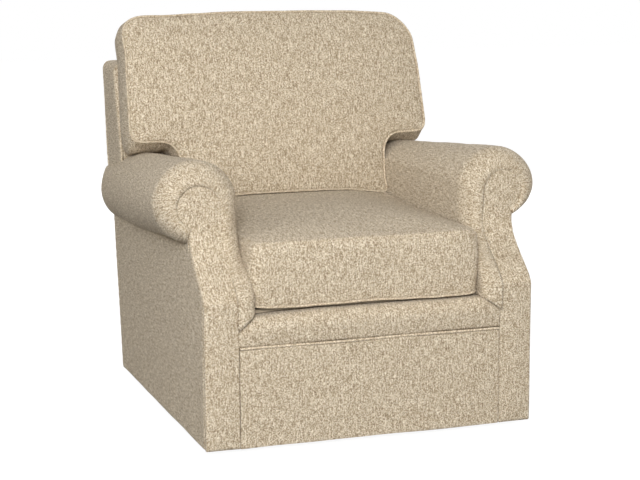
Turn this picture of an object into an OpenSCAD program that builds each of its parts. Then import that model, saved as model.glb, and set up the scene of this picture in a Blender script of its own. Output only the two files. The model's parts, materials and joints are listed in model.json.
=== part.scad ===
// Swivel glider armchair, upholstered down to the floor. Millimetres, +Z up, the sitter looks along -Y.
// The origin is on the floor, on the swivel axis, in the middle of the chair's width and depth.

/* [Overall] */
// Width of each arm, from its inside face to the face of the outside panel
arm_w = 117; // [108:1:126]
// From the swivel axis forward to the face of the apron
front_reach = 490; // [470:1:510]
// From the swivel axis back to the foot of the outside back
back_reach = 360.2; // [350:0.1:380]
// Height of the hem above the floor
hem_z = 15; // [12:1:20]
// Height of the back frame
back_frame_z = 830; // [800:1:860]
// Lean of the outside back, degrees
back_rake = 9.4; // [8:0.1:11]

/* [Seat] */
// Width between the inside arms
seat_w = 566; // [540:1:580]
// Height of the deck that the cushion lies on
deck_z = 322; // [318:1:330]
// Height of the seat cushion's top seam
seat_seam_z = 478; // [465:1:490]
// Crown of the seat cushion above its seam
seat_crown = 30; // [15:1:34]
// How far the seat cushion's front lies behind the apron
seat_set_back = 30; // [20:1:40]
// Corner radius of the seat cushion
seat_corner_r = 42; // [30:1:60]

/* [Back cushion] */
// Lean of the back cushion, degrees
cushion_rake = 16; // [14:0.5:17]
// From the foot of the outside back forward to the foot of the back cushion's front
back_depth = 230.2; // [226:0.1:245]
// Thickness of the back cushion between its welts
back_cushion_t = 118; // [105:1:122]
// Crown of the back cushion's front
back_crown = 30; // [15:1:38]
// Height of the back cushion along its slope
back_cushion_h = 490; // [480:1:505]
// How far the ears reach beyond the outside arm panels, each side
ear_reach = 10; // [4:1:16]
// Gap between the cushion's stem and each inside arm
stem_gap = 7; // [5:1:18]
// Height along the slope at which the ears begin
ear_start = 162; // [158:1:176]
// Radius of the notch between stem and ear
notch_r = 56; // [40:1:60]
// Radius of the ears' lower corners
ear_corner_r = 25; // [15:1:35]
// Radius of the cushion's top corners
top_corner_r = 72; // [50:1:90]

/* [Arms] */
// Thickness of the inside arm padding
arm_pad_t = 36; // [34:1:40]
// Radius of the roll at its front
roll_r = 96.5; // [90:0.5:99]
// Radius that the roll has lost at its rear end
roll_taper = 16; // [10:1:20]
// Height of the roll's axis at its front
roll_z = 558.5; // [550:0.5:566]
// Fall of the roll's axis towards the rear, degrees
roll_fall = 3.6; // [3:0.1:4.2]
// Turn of the roll's axis inward towards the rear, degrees
roll_toe = 2.1; // [1:0.1:2.6]
// From the outside arm panel inward to the roll's axis
roll_inset = 22.5; // [19:0.5:26]
// Rounding of the roll's front edge
roll_edge_r = 30; // [20:1:34]
// Height at which the arm front starts to slope back
shoulder_z = 352; // [340:1:365]
// Height at which the slope ends below the scroll
neck_z = 500; // [490:1:510]
// How far the scroll lies behind the post front
arm_set_back = 118; // [100:1:130]
// Radius of the facing panel on the scroll
facing_r = 55; // [50:1:58]
// How far the facing's centre lies below the roll's axis
facing_drop = 6; // [4:1:10]
// Thickness of the padded arm fronts and of the apron
facing_t = 14; // [12:1:16]

/* [Front border] */
// Height of the welt between apron and border
welt_z = 246; // [240:1:252]
// Diameter of the welts
welt_d = 6; // [5:0.5:7]
// How far the border bulges in front of the apron
nosing_bulge = 5; // [3:1:8]
// Thickness of the outside panels
skin_t = 8; // [6:1:9]
// How far the upper back stands out beyond the outside arms, each side
back_flare = 8; // [7:1:10]

/* [Wood frame] */
// Thickness of the lower boards
board_t = 20; // [18:1:22]
// Thickness of the seat rails
rail_t = 25; // [22:1:28]
// Height of the lower boards' top edge
lower_board_z = 150; // [146:1:160]
// Underside of the seat rails
rail_z0 = 238; // [236:1:242]
// Top of the seat rails
rail_z1 = 296; // [292:1:298]
// Thickness of the arm posts
post_t = 28; // [24:1:30]
// Depth of the back posts
back_post_d = 60; // [50:1:70]
// Width of the back posts
back_post_w = 28; // [24:1:32]

/* [Springs and deck] */
// Number of seat springs
spring_count = 6; // [5:1:6]
// Diameter of the spring wire
spring_wire = 4; // [3:0.5:4]
// Number of vertical webbing straps in the back
strap_count = 5; // [4:1:5]

/* [Swivel] */
// Height of the floor pads
pad_h = 5; // [4:1:7]
// Number of floor pads
pad_count = 8; // [6:2:10]
// Radius of the base ring at the middle of its tube
ring_r = 222; // [210:1:228]
// Diameter of the ring's tube
ring_tube_d = 25; // [22:1:26]
// Thickness of the ring's crossbars
crossbar_t = 5; // [4:0.5:6]
// Radius of the swivel plates
plate_r = 95; // [92:1:100]
// Thickness of the swivel plates
plate_t = 5; // [5:0.5:6]
// Gap between the swivel plates
plate_gap = 4.5; // [4:0.1:5]
// Diameter of the bearing balls
ball_d = 9.5; // [9:0.1:10]
// Radius of the circle that the balls run on
ball_pitch_r = 75; // [68:1:80]
// Number of bearing balls
ball_count = 24; // [16:1:28]
// Diameter of the swivel bolt
swivel_bolt_d = 12; // [10:1:14]

/* [Glider] */
// Distance between the two pivots of a link
link_l = 118; // [110:1:120]
// Height of the upper pivots
pivot_z = 213; // [210:1:216]
// From the swivel axis to the upper pivots, front and rear
pivot_y = 110; // [100:1:115]
// Swing of the links each way, degrees
link_swing = 20; // [16:1:22]
// Width of the links
link_w = 24; // [22:1:26]
// Thickness of the steel plates of the mechanism
steel_t = 4; // [3:0.5:5]
// Diameter of the pivot pins
pin_d = 12; // [10:1:12]
// Outer diameter of the nylon bushes
bush_d = 18; // [16:1:19]
// Half the distance between the inner faces of the base sides
base_half_w = 148; // [144:1:150]
// Clearance between the base side and the link
link_gap = 6; // [5:1:7]
// Clearance between the link and the carriage rail
rail_gap = 11; // [10:1:13]
// Width of the carriage rail's mounting flange
flange_w = 40; // [36:1:44]
// Height of the carriage rail's web
rail_web_h = 34; // [32:1:38]
// Length of the carriage rail
carriage_l = 380; // [360:1:400]
// Thickness of the mounting stretchers
stretcher_h = 30; // [26:1:32]

/* [Hidden] */
$fn = 48;
// Clearances: between covered pieces, round a running shaft, and past the end of every cut
seam = 0.3;
run_fit = 0.05;
overrun = 2;

// Places that follow the driving sizes
inside_x = seat_w / 2;
half_w = inside_x + arm_w;
body_w = 2 * half_w;
front_y = -front_reach;
wood_x = inside_x + arm_pad_t + seam;
panel_x = half_w - skin_t;
facing_x = inside_x + arm_pad_t;
scroll_y = front_y + arm_set_back;
back_half_w = half_w + back_flare;
// Where the cushion's lean starts, at the height of the seat seam
cushion_foot_y = back_reach - back_depth;
inside_back_y = cushion_foot_y + back_cushion_t / cos(cushion_rake) + 2 * seam;
inside_back_t = 22;
spring_z = rail_z1;
clip_h = 3;
function back_y(z) = back_reach + (z - hem_z) * tan(back_rake);
function inside_y(z) = inside_back_y + (z - seat_seam_z) * tan(cushion_rake);
function wood_back_y(z) = back_y(z) - skin_t - seam;

// The arm front in side view: upright post, then an S-shaped slope back to the scroll
neck_bias_share = 0.75;
neck_steps = 10;
function smooth(t) = t * t * (3 - 2 * t);
function neck_y(z) = front_y + arm_set_back
    * smooth(pow(min(max((z - shoulder_z) / (neck_z - shoulder_z), 0), 1), neck_bias_share));
neck_line = [for (i = [0:neck_steps]) let (z = shoulder_z + (neck_z - shoulder_z) * i / neck_steps)
    [neck_y(z), z]];

// The arm roll: axis, radius and height at a distance y
roll_x = half_w - roll_inset;
facing_z = roll_z - facing_drop;
roll_face_y = scroll_y + facing_t / 2;
roll_l = back_y(roll_z) - roll_face_y;
function roll_axis_z(y) = roll_z - (y - roll_face_y) * tan(roll_fall);
function roll_radius(y) = roll_r - roll_taper * (y - roll_face_y) / roll_l;
under_share = 0.7;
function roll_under_z(y) = roll_axis_z(y) - roll_radius(y) * under_share;

// Swivel and glider heights and places
ring_z = pad_h + ring_tube_d / 2;
crossbar_z = pad_h + ring_tube_d;
lower_plate_z = crossbar_z + crossbar_t;
upper_plate_z = lower_plate_z + plate_t + plate_gap;
frame_z = upper_plate_z + plate_t;
side_x0 = base_half_w;
side_x1 = side_x0 + steel_t;
link_x0 = side_x1 + link_gap;
link_x1 = link_x0 + steel_t;
web_x0 = link_x1 + rail_gap;
web_x1 = web_x0 + steel_t;
low_pivot_z = pivot_z - link_l;
web_z0 = low_pivot_z - link_w / 2 - 3 * run_fit;
flange_z1 = web_z0 + rail_web_h;
clip_t = 1.5;
pin_head_t = 6;
pin_head_share = 0.75;
pin_head_r = pin_d * pin_head_share;

// Small shapes that several pieces share
module yz_plate(x0, x1) {
    translate([x0, 0, 0]) rotate([90, 0, 90]) linear_extrude(x1 - x0) children();
}
module xz_plate(y0, y1) {
    translate([0, y1, 0]) rotate([90, 0, 0]) linear_extrude(y1 - y0) children();
}
module box(a, b) {
    translate(a) cube(b - a);
}
module on_side(side) {
    mirror([side < 0 ? 1 : 0, 0, 0]) children();
}
module both_sides() {
    for (side = [-1, 1]) on_side(side) children();
}
module x_rod(x0, x1, r) {
    translate([x0, 0, 0]) rotate([0, 90, 0]) cylinder(h = x1 - x0, r = r);
}
// A board that leans with the outside back, between two heights
module leaning_board(x0, x1, z0, z1, t) {
    yz_plate(x0, x1) polygon([[wood_back_y(z0) - t, z0], [wood_back_y(z0), z0], [wood_back_y(z1), z1],
        [wood_back_y(z1) - t, z1]]);
}

// Floor base: pads, ring, crossbars, lower plate, balls and bolt
pad_r = 14;
module floor_pads() {
    color("dimgray") for (i = [0:pad_count - 1]) rotate([0, 0, (i + 0.5) * 360 / pad_count])
        translate([ring_r, 0, 0]) cylinder(h = pad_h, r = pad_r);
}
module floor_ring() {
    color("#2b2b2d") translate([0, 0, ring_z]) rotate_extrude($fn = 96) translate([ring_r, 0])
        circle(d = ring_tube_d, $fn = 32);
}
crossbar_x = 60;
crossbar_w = 40;
module ring_crossbars() {
    reach = sqrt(pow(ring_r, 2) - pow(crossbar_x + crossbar_w / 2, 2));
    color("#2b2b2d") both_sides() box([crossbar_x - crossbar_w / 2, -reach, crossbar_z],
        [crossbar_x + crossbar_w / 2, reach, crossbar_z + crossbar_t]);
}
module ball_groove() {
    translate([0, 0, lower_plate_z + plate_t + plate_gap / 2]) rotate_extrude($fn = 96)
        translate([ball_pitch_r, 0]) circle(r = ball_d / 2 + run_fit, $fn = 32);
}
module swivel_plate(z) {
    difference() {
        translate([0, 0, z]) cylinder(h = plate_t, r = plate_r, $fn = 96);
        translate([0, 0, z - overrun]) cylinder(h = plate_t + 2 * overrun, r = swivel_bolt_d / 2 + run_fit);
        ball_groove();
        children();
    }
}
module lower_swivel_plate() {
    color("#3a3a3c") swivel_plate(lower_plate_z);
}
module bearing_balls() {
    color("silver") for (i = [0:ball_count - 1]) rotate([0, 0, i * 360 / ball_count])
        translate([ball_pitch_r, 0, lower_plate_z + plate_t + plate_gap / 2]) sphere(d = ball_d, $fn = 24);
}
bolt_head_h = 8;
nut_h = 8;
bolt_head_share = 0.8;
bolt_head_r = swivel_bolt_d * bolt_head_share;
swivel_nut_z = frame_z + seam;
module swivel_bolt() {
    color("silver") {
        translate([0, 0, lower_plate_z - bolt_head_h]) cylinder(h = bolt_head_h, r = bolt_head_r, $fn = 6);
        translate([0, 0, lower_plate_z - bolt_head_h])
            cylinder(h = swivel_nut_z + nut_h - lower_plate_z + bolt_head_h, r = swivel_bolt_d / 2);
    }
}
module swivel_nut() {
    color("silver") difference() {
        translate([0, 0, swivel_nut_z]) cylinder(h = nut_h, r = bolt_head_r, $fn = 6);
        translate([0, 0, swivel_nut_z - overrun])
            cylinder(h = nut_h + 2 * overrun, r = swivel_bolt_d / 2 + run_fit);
    }
}

// Swivel frame: upper plate, cross bars, base sides, pins and stops
cross_y = 50;
cross_w = 40;
cross_t = 8;
plate_bolt_x = 25;
plate_bolt_r = 4;
module plate_bolt_places() {
    for (x = [-plate_bolt_x, plate_bolt_x]) for (y = [-cross_y, cross_y]) translate([x, y, 0]) children();
}
module plate_bolt_holes() {
    plate_bolt_places() translate([0, 0, upper_plate_z - overrun])
        cylinder(h = plate_t + cross_t + 2 * overrun, r = plate_bolt_r + run_fit);
}
module upper_swivel_plate() {
    color("#3a3a3c") swivel_plate(upper_plate_z) plate_bolt_holes();
}
module base_cross_bars() {
    color("#2b2b2d") difference() {
        for (y = [-cross_y, cross_y]) box([-side_x0, y - cross_w / 2, frame_z],
            [side_x0, y + cross_w / 2, frame_z + cross_t]);
        plate_bolt_holes();
    }
}
plate_bolt_head_h = 4;
module plate_bolts() {
    color("silver") plate_bolt_places() {
        translate([0, 0, upper_plate_z]) cylinder(h = plate_t + cross_t, r = plate_bolt_r);
        translate([0, 0, frame_z + cross_t]) cylinder(h = plate_bolt_head_h, r = plate_bolt_r * 2);
    }
}
stop_r = 8;
stop_drop = 58;
stop_y = pivot_y + (stop_drop * sin(link_swing) + link_w / 2 + stop_r + 2 * seam) / cos(link_swing);
stop_reach = 2;
stop_l = link_gap + steel_t + stop_reach;
side_edge = 4;
side_half_l = stop_y + stop_r + side_edge;
side_top_z = pivot_z + link_w / 2 + side_edge;
side_corner = 30;
module base_side(side) {
    color("#2b2b2d") on_side(side) difference() {
        yz_plate(side_x0, side_x1) polygon([[-side_half_l, frame_z], [side_half_l, frame_z],
            [side_half_l, side_top_z - side_corner], [side_half_l - side_corner, side_top_z],
            [side_corner - side_half_l, side_top_z], [-side_half_l, side_top_z - side_corner]]);
        for (y = [-pivot_y, pivot_y]) translate([0, y, pivot_z])
            x_rod(side_x0 - overrun, side_x1 + overrun, pin_d / 2 + run_fit);
    }
}
module top_pivot_pins() {
    color("silver") both_sides() for (y = [-pivot_y, pivot_y]) translate([0, y, pivot_z]) {
        x_rod(side_x0 - pin_head_t, side_x0, pin_head_r);
        x_rod(side_x0 - pin_head_t, link_x1 + rail_gap / 2, pin_d / 2);
    }
}
pin_end = 1;
link_play = 2;
top_clip_x = link_x1 + rail_gap / 2 - clip_t - pin_end;
low_clip_x = link_x0 - clip_t - link_play;
module pin_clip(x) {
    difference() {
        x_rod(x, x + clip_t, pin_head_r);
        x_rod(x - overrun, x + clip_t + overrun, pin_d / 2 + run_fit);
    }
}
module top_pin_clips() {
    color("silver") both_sides() for (y = [-pivot_y, pivot_y]) translate([0, y, pivot_z])
        pin_clip(top_clip_x);
}
module bump_stops() {
    color("#1c1c1c") both_sides() for (y = [-stop_y, stop_y]) translate([0, y, pivot_z - stop_drop])
        x_rod(side_x1, side_x1 + stop_l, stop_r);
}

// Links and their bushes
module link(side, y) {
    color("#2b2b2d") on_side(side) difference() {
        yz_plate(link_x0, link_x1) {
            translate([y, pivot_z]) circle(d = link_w);
            translate([y, low_pivot_z]) circle(d = link_w);
            translate([y - link_w / 2, low_pivot_z]) square([link_w, link_l]);
        }
        for (z = [low_pivot_z, pivot_z]) translate([0, y, z])
            x_rod(link_x0 - overrun, link_x1 + overrun, bush_d / 2 + run_fit);
    }
}
module bush(x0, x1) {
    difference() {
        x_rod(x0, x1, bush_d / 2);
        x_rod(x0 - overrun, x1 + overrun, pin_d / 2 + run_fit);
    }
}
module link_bushes(y) {
    color("ivory") both_sides() {
        translate([0, y, pivot_z]) bush(side_x1 + seam, top_clip_x - seam);
        translate([0, y, low_pivot_z]) bush(low_clip_x + clip_t + seam, web_x0 - seam);
    }
}

// Carriage: rails, pins and the wooden stretchers they are bolted to
bolt_y = 150;
bolt_x = web_x0 + flange_w / 2 + steel_t;
bolt_r = 4;
bolt_head_t = 6;
module mounting_bolt_places() {
    both_sides() for (y = [-bolt_y, bolt_y]) translate([bolt_x, y, 0]) children();
}
module carriage_rail(side) {
    color("#2b2b2d") on_side(side) difference() {
        xz_plate(-carriage_l / 2, carriage_l / 2) polygon([[web_x0, web_z0], [web_x1, web_z0],
            [web_x1, flange_z1 - steel_t], [web_x0 + flange_w, flange_z1 - steel_t],
            [web_x0 + flange_w, flange_z1], [web_x0, flange_z1]]);
        for (y = [-pivot_y, pivot_y]) translate([0, y, low_pivot_z])
            x_rod(web_x0 - overrun, web_x1 + overrun, pin_d / 2 + run_fit);
        for (y = [-bolt_y, bolt_y]) translate([bolt_x, y, flange_z1 - steel_t - overrun])
            cylinder(h = steel_t + 2 * overrun, r = bolt_r + run_fit);
    }
}
module bottom_pivot_pins() {
    color("silver") both_sides() for (y = [-pivot_y, pivot_y]) translate([0, y, low_pivot_z]) {
        x_rod(web_x1, web_x1 + pin_head_t, pin_head_r);
        x_rod(low_clip_x - pin_end, web_x1 + pin_head_t, pin_d / 2);
    }
}
module bottom_pin_clips() {
    color("silver") both_sides() for (y = [-pivot_y, pivot_y]) translate([0, y, low_pivot_z])
        pin_clip(low_clip_x);
}
stretcher_gap = 3;
stretcher_x0 = web_x1 + stretcher_gap;
stretcher_x1 = web_x0 + flange_w;
stretcher_z1 = flange_z1 + stretcher_h;
module mounting_stretchers() {
    front = board_y0 + board_t;
    color("burlywood") difference() {
        both_sides() yz_plate(stretcher_x0, stretcher_x1) polygon([[front, flange_z1],
            [wood_back_y(flange_z1) - board_t, flange_z1],
            [wood_back_y(stretcher_z1) - board_t, stretcher_z1], [front, stretcher_z1]]);
        mounting_bolt_places() translate([0, 0, flange_z1 - overrun])
            cylinder(h = stretcher_h + 2 * overrun, r = bolt_r + run_fit);
    }
}
module mounting_bolts() {
    color("silver") mounting_bolt_places() {
        translate([0, 0, flange_z1 - steel_t - bolt_head_t]) cylinder(h = bolt_head_t, r = bolt_r * 2);
        translate([0, 0, flange_z1 - steel_t - bolt_head_t])
            cylinder(h = stretcher_z1 - flange_z1 + steel_t + 2 * bolt_head_t, r = bolt_r);
        translate([0, 0, stretcher_z1]) cylinder(h = bolt_head_t, r = bolt_r * 2);
    }
}

// Wood frame
board_y0 = front_y + facing_t + seam;
board_lift = 5;
board_z0 = hem_z + board_lift;
post_y0 = board_y0;
module front_lower_rail() {
    color("burlywood") box([-wood_x, board_y0, board_z0], [wood_x, board_y0 + board_t, lower_board_z]);
}
module side_lower_rails() {
    color("burlywood") both_sides() yz_plate(panel_x - seam - board_t, panel_x - seam)
        polygon([[post_y0 + post_t, board_z0], [wood_back_y(board_z0) - back_post_d, board_z0],
            [wood_back_y(lower_board_z) - back_post_d, lower_board_z], [post_y0 + post_t, lower_board_z]]);
}
back_post_x1 = panel_x - seam;
back_post_x0 = back_post_x1 - back_post_w;
module back_lower_rail() {
    color("burlywood") leaning_board(-back_post_x0, back_post_x0, board_z0, lower_board_z, board_t);
}
module front_seat_rail() {
    color("burlywood") box([-wood_x, board_y0, rail_z0], [wood_x, board_y0 + rail_t, rail_z1]);
}
module side_seat_rails() {
    color("burlywood") both_sides() yz_plate(wood_x, wood_x + rail_t)
        polygon([[post_y0 + post_t, rail_z0], [wood_back_y(rail_z0) - rail_t, rail_z0],
            [wood_back_y(rail_z1) - rail_t, rail_z1], [post_y0 + post_t, rail_z1]]);
}
module back_seat_rail() {
    color("burlywood") leaning_board(-back_post_x0, back_post_x0, rail_z0, rail_z1, rail_t);
}
block_leg = 60;
block_t = 20;
module corner_blocks() {
    front = board_y0 + rail_t;
    rear = wood_back_y(rail_z0) - rail_t;
    color("burlywood") both_sides() translate([0, 0, rail_z0]) linear_extrude(block_t) {
        polygon([[wood_x, front], [wood_x, front + block_leg], [wood_x - block_leg, front]]);
        polygon([[wood_x, rear], [wood_x - block_leg, rear], [wood_x, rear - block_leg]]);
    }
}
post_drop = 12;
post_top_z = roll_z - post_drop;
module post_outline(grow) {
    polygon(concat([[post_y0 - grow, board_z0]], [for (p = neck_line) [p[0] + facing_t + seam - grow, p[1]]],
        [[scroll_y + facing_t + seam - grow, post_top_z + grow],
            [scroll_y + facing_t + seam + post_t + grow, post_top_z + grow]],
        [for (i = [neck_steps:-1:0]) [neck_line[i][0] + facing_t + seam + post_t + grow, neck_line[i][1]]],
        [[post_y0 + post_t + grow, board_z0]]));
}
module arm_posts() {
    color("burlywood") both_sides() yz_plate(wood_x, panel_x - seam) post_outline(0);
}
arm_board_t = 20;
arm_board_drop = 12;
module arm_board_outline(grow) {
    y0 = scroll_y + facing_t + seam + post_t;
    z0 = roll_axis_z(y0) - arm_board_drop;
    y1 = wood_back_y(z0) - back_post_d;
    z1 = roll_axis_z(y1) - arm_board_drop;
    top_y = wood_back_y(z1) - back_post_d;
    low_y = wood_back_y(z1 - arm_board_t) - back_post_d;
    polygon([[y0, z0 - arm_board_t - grow], [low_y, z1 - arm_board_t - grow], [top_y, z1 + grow],
        [y0, z0 + grow]]);
}
module arm_top_boards() {
    color("burlywood") both_sides() yz_plate(wood_x, panel_x - seam) arm_board_outline(0);
}
back_wood_z1 = back_frame_z - inside_back_t - seam;
module back_posts() {
    color("burlywood") both_sides() leaning_board(back_post_x0, back_post_x1, board_z0, back_wood_z1,
        back_post_d);
}
top_rail_h = 50;
tack_rail_h = 40;
tack_rail_z = rail_z1 + spring_wire + 2 * clip_h;
module back_cross_rails() {
    color("burlywood") {
        leaning_board(-back_post_x0, back_post_x0, back_wood_z1 - top_rail_h, back_wood_z1, back_post_d);
        leaning_board(-back_post_x0, back_post_x0, tack_rail_z, tack_rail_z + tack_rail_h, rail_t);
    }
}

// Springs, webbing, deck and dust cover
spring_y0 = board_y0 + rail_t / 2;
spring_y1 = wood_back_y(rail_z1) - rail_t / 2;
spring_wave = 26;
spring_periods = 14;
spring_steps = spring_periods * 8;
spring_pitch = seat_w / spring_count;
function spring_x(n) = (n + 0.5) * spring_pitch - inside_x;
// The middle line of a zigzag spring, and the wire drawn on both sides of it
function spring_mid(i) = let (t = i / spring_steps)
    [spring_wave * sin(360 * spring_periods * t), spring_y0 + (spring_y1 - spring_y0) * t];
function spring_side(i) = let (d = spring_mid(min(i + 1, spring_steps)) - spring_mid(max(i - 1, 0)))
    [d[1], -d[0]] / norm(d) * spring_wire / 2;
module seat_springs() {
    color("silver") for (n = [0:spring_count - 1]) translate([spring_x(n), 0, spring_z])
        linear_extrude(spring_wire) polygon(concat(
            [for (i = [0:spring_steps]) spring_mid(i) + spring_side(i)],
            [for (i = [spring_steps:-1:0]) spring_mid(i) - spring_side(i)]));
}
clip_share = 0.4;
clip_l = rail_t * clip_share;
clip_w = 16;
module spring_clips() {
    color("dimgray") for (n = [0:spring_count - 1])
        for (y = [spring_y0 - spring_wire / 2 - clip_l - seam, spring_y1 + spring_wire / 2 + seam])
            translate([spring_x(n) - clip_w / 2, y, spring_z])
                cube([clip_w, clip_l, spring_wire + clip_h]);
}
strap_w = 50;
strap_t = 2;
module back_webbing() {
    pitch = seat_w / strap_count;
    mid_z = tack_rail_z + tack_rail_h;
    top_z = back_wood_z1 - top_rail_h;
    line = [[wood_back_y(tack_rail_z) - rail_t, tack_rail_z], [wood_back_y(mid_z) - rail_t, mid_z],
        [wood_back_y(top_z) - back_post_d, top_z], [wood_back_y(back_wood_z1) - back_post_d, back_wood_z1]];
    color("saddlebrown") for (n = [0:strap_count - 1])
        yz_plate((n + 0.5) * pitch - inside_x - strap_w / 2, (n + 0.5) * pitch - inside_x + strap_w / 2)
            polygon(concat(line, [for (i = [len(line) - 1:-1:0]) line[i] - [strap_t, 0]]));
}
nosing_depth = 52;
deck_x = inside_x - seam;
module seat_deck() {
    z0 = spring_z + spring_wire + seam;
    front = front_y + nosing_depth + seam;
    color("tan") yz_plate(-deck_x, deck_x) polygon([[front, z0], [inside_y(z0) - seam, z0],
        [inside_y(deck_z) - seam, deck_z], [front, deck_z]]);
}
cover_t = 1;
module dust_cover() {
    edge = panel_x - seam - board_t;
    color("#202020") box([-edge, post_y0 + post_t + seam, rail_z0 - cover_t],
        [edge, wood_back_y(rail_z0) - back_post_d - seam, rail_z0]);
}

// Front border, apron and welt
nosing_step = 2;
nosing_top_z = deck_z - nosing_step;
nosing_round_r = 30;
nosing_steps = 8;
nosing_low_steps = 3;
module nosing_outline() {
    low = welt_z + welt_d / 2;
    mid_z = nosing_top_z - nosing_round_r;
    under_z = spring_z + spring_wire + clip_h + seam;
    polygon(concat([[board_y0 - seam, low], [front_y, low]],
        [for (i = [1:nosing_low_steps]) let (t = i / nosing_low_steps)
            [front_y - nosing_bulge * sin(90 * t), low + (mid_z - low) * t]],
        [for (i = [1:nosing_steps]) let (a = 90 * i / nosing_steps)
            [front_y - nosing_bulge + nosing_round_r * (1 - cos(a)), mid_z + nosing_round_r * sin(a)]],
        [[front_y + nosing_depth, nosing_top_z], [front_y + nosing_depth, under_z],
            [board_y0 - seam, under_z]]));
}
module front_nosing() {
    color("#cdb996") yz_plate(-facing_x + seam, facing_x - seam) nosing_outline();
}
apron_drop = 1;
module front_apron() {
    color("#cdb996") box([-facing_x + seam, front_y, hem_z - apron_drop],
        [facing_x - seam, front_y + facing_t, welt_z - welt_d / 2]);
}
welt_set_share = 0.33;
module apron_welt() {
    color("#dccaa8") translate([0, front_y + welt_d * welt_set_share, welt_z])
        x_rod(-facing_x + seam, facing_x - seam, welt_d / 2 - run_fit);
}

// The roll as a solid of revolution with a rounded front edge, laid along its falling axis
roll_edge_steps = 6;
module roll_solid(grow) {
    r = roll_r + grow;
    tip = (roll_l + facing_t) / cos(roll_fall);
    translate([roll_x, roll_face_y, roll_z]) rotate([0, 0, roll_toe]) rotate([-90 - roll_fall, 0, 0])
        rotate_extrude($fn = 96)
        polygon(concat([[0, -grow]],
            [for (i = [0:roll_edge_steps]) let (a = 90 * i / roll_edge_steps)
                [r - roll_edge_r * (1 - sin(a)), roll_edge_r * (1 - cos(a)) - grow]],
            [[r - roll_taper, tip], [0, tip]]));
}
// The space of the back frame, as the arms meet it
module back_space(half, gap) {
    low_z = shoulder_z;
    high_z = back_frame_z + roll_r;
    yz_plate(-half, half) polygon([[inside_y(low_z) - gap, low_z], [back_y(high_z) + roll_r, low_z],
        [back_y(high_z) + roll_r, high_z], [inside_y(high_z) - gap, high_z]]);
}
// The keyhole of the arm front, seen from the front
module keyhole(grow) {
    polygon([[facing_x - grow, hem_z], [half_w + grow, hem_z], [half_w + grow, facing_z - facing_r / 2],
        [roll_x, facing_z], [roll_x - facing_r - grow, facing_z], [facing_x - grow, neck_z - facing_r]]);
    translate([roll_x, facing_z]) circle(r = facing_r + grow);
}
module arm_front_outline(grow) {
    polygon(concat([[front_y - grow, hem_z]], [for (p = neck_line) [p[0] - grow, p[1]]],
        [[scroll_y - grow, roll_z + facing_r], [scroll_y + facing_t + grow, roll_z + facing_r]],
        [for (i = [neck_steps:-1:0]) [neck_line[i][0] + facing_t + grow, neck_line[i][1]]],
        [[front_y + facing_t + grow, hem_z]]));
}
module arm_front(side) {
    color("#cdb996") on_side(side) intersection() {
        xz_plate(front_y - overrun, scroll_y + facing_t + overrun) keyhole(0);
        yz_plate(facing_x - overrun, roll_x + facing_r + overrun) arm_front_outline(0);
    }
}
module arm_roll(side) {
    color("#bba98a") on_side(side) difference() {
        roll_solid(0);
        back_space(back_half_w + seam, seam);
        intersection() {
            xz_plate(front_y, scroll_y + facing_t + seam) keyhole(seam);
            yz_plate(facing_x - overrun, roll_x + roll_r) arm_front_outline(seam);
        }
        yz_plate(wood_x - seam, panel_x) post_outline(seam);
        yz_plate(wood_x - seam, panel_x) arm_board_outline(seam);
        rear_cut();
        box([0, front_y, hem_z], [inside_x, back_reach + body_w, back_frame_z + roll_r]);
    }
}
// What lies behind the outside back's face
module rear_cut() {
    top = back_frame_z + roll_r;
    yz_plate(0, body_w) polygon([[wood_back_y(hem_z), hem_z], [wood_back_y(top), top],
        [wood_back_y(top) + body_w, top], [wood_back_y(hem_z) + body_w, hem_z]]);
}
module outside_arm(side) {
    low = hem_z;
    rear_z = roll_under_z(back_y(roll_z));
    front_z = roll_under_z(roll_face_y);
    color("#b09e80") on_side(side) difference() {
        yz_plate(panel_x, half_w) polygon(concat([[front_y + facing_t + seam, low]],
            [for (p = neck_line) if (p[1] < front_z) [p[0] + facing_t + seam, p[1]]],
            [[neck_y(front_z) + facing_t + seam, front_z], [wood_back_y(rear_z), rear_z],
                [wood_back_y(low), low]]));
        roll_solid(seam);
    }
}

// Inside arm: a slab whose front edge is rounded and follows the slope of the arm front
inside_arm_z0 = rail_z0 + block_t + seam;
slab_z0 = nosing_top_z + seam;
arm_levels = 10;
arm_edge_steps = 5;
function slab_z(y, share) = share < 0 ? inside_arm_z0 : slab_z0 + (roll_axis_z(y) - slab_z0) * share;
function slab_rear(z) = inside_y(z) - seam;
function slab_ring(share) = let (yf = neck_y(slab_z(scroll_y, share)), r = arm_pad_t,
    rear = slab_rear(slab_z(slab_rear(slab_z(yf, share)), share))) concat(
    [for (i = [0:arm_edge_steps]) let (a = 90 * i / arm_edge_steps, y = yf + r * (1 - cos(a)))
        [inside_x + r * (1 - sin(a)), y, slab_z(y, share)]],
    [for (x = [inside_x, inside_x + r]) [x, rear, slab_z(rear, share)]]);
// A closed skin over rings of equal length, with a flat lid at each end
module loft(rings) {
    n = len(rings[0]);
    m = len(rings);
    polyhedron([for (ring = rings) for (p = ring) p], concat(
        [for (j = [0:m - 2]) for (i = [0:n - 1]) [j * n + i, j * n + (i + 1) % n, (j + 1) * n + i]],
        [for (j = [0:m - 2]) for (i = [0:n - 1])
            [j * n + (i + 1) % n, (j + 1) * n + (i + 1) % n, (j + 1) * n + i]],
        [for (i = [1:n - 2]) [0, i + 1, i]],
        [for (i = [1:n - 2]) [(m - 1) * n, (m - 1) * n + i, (m - 1) * n + i + 1]]));
}
// The slab reaches below the seat deck, behind the front border
module inside_arm(side) {
    color("#bba98a") on_side(side) difference() {
        loft(concat([slab_ring(-1)], [for (j = [0:arm_levels]) slab_ring(j / arm_levels)]));
        box([0, front_y - nosing_depth, 0], [half_w, front_y + nosing_depth + seam, slab_z0]);
        roll_solid(seam);
    }
}

// Back frame covers
top_edge_share = 0.33;
back_round_r = 25;
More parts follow.
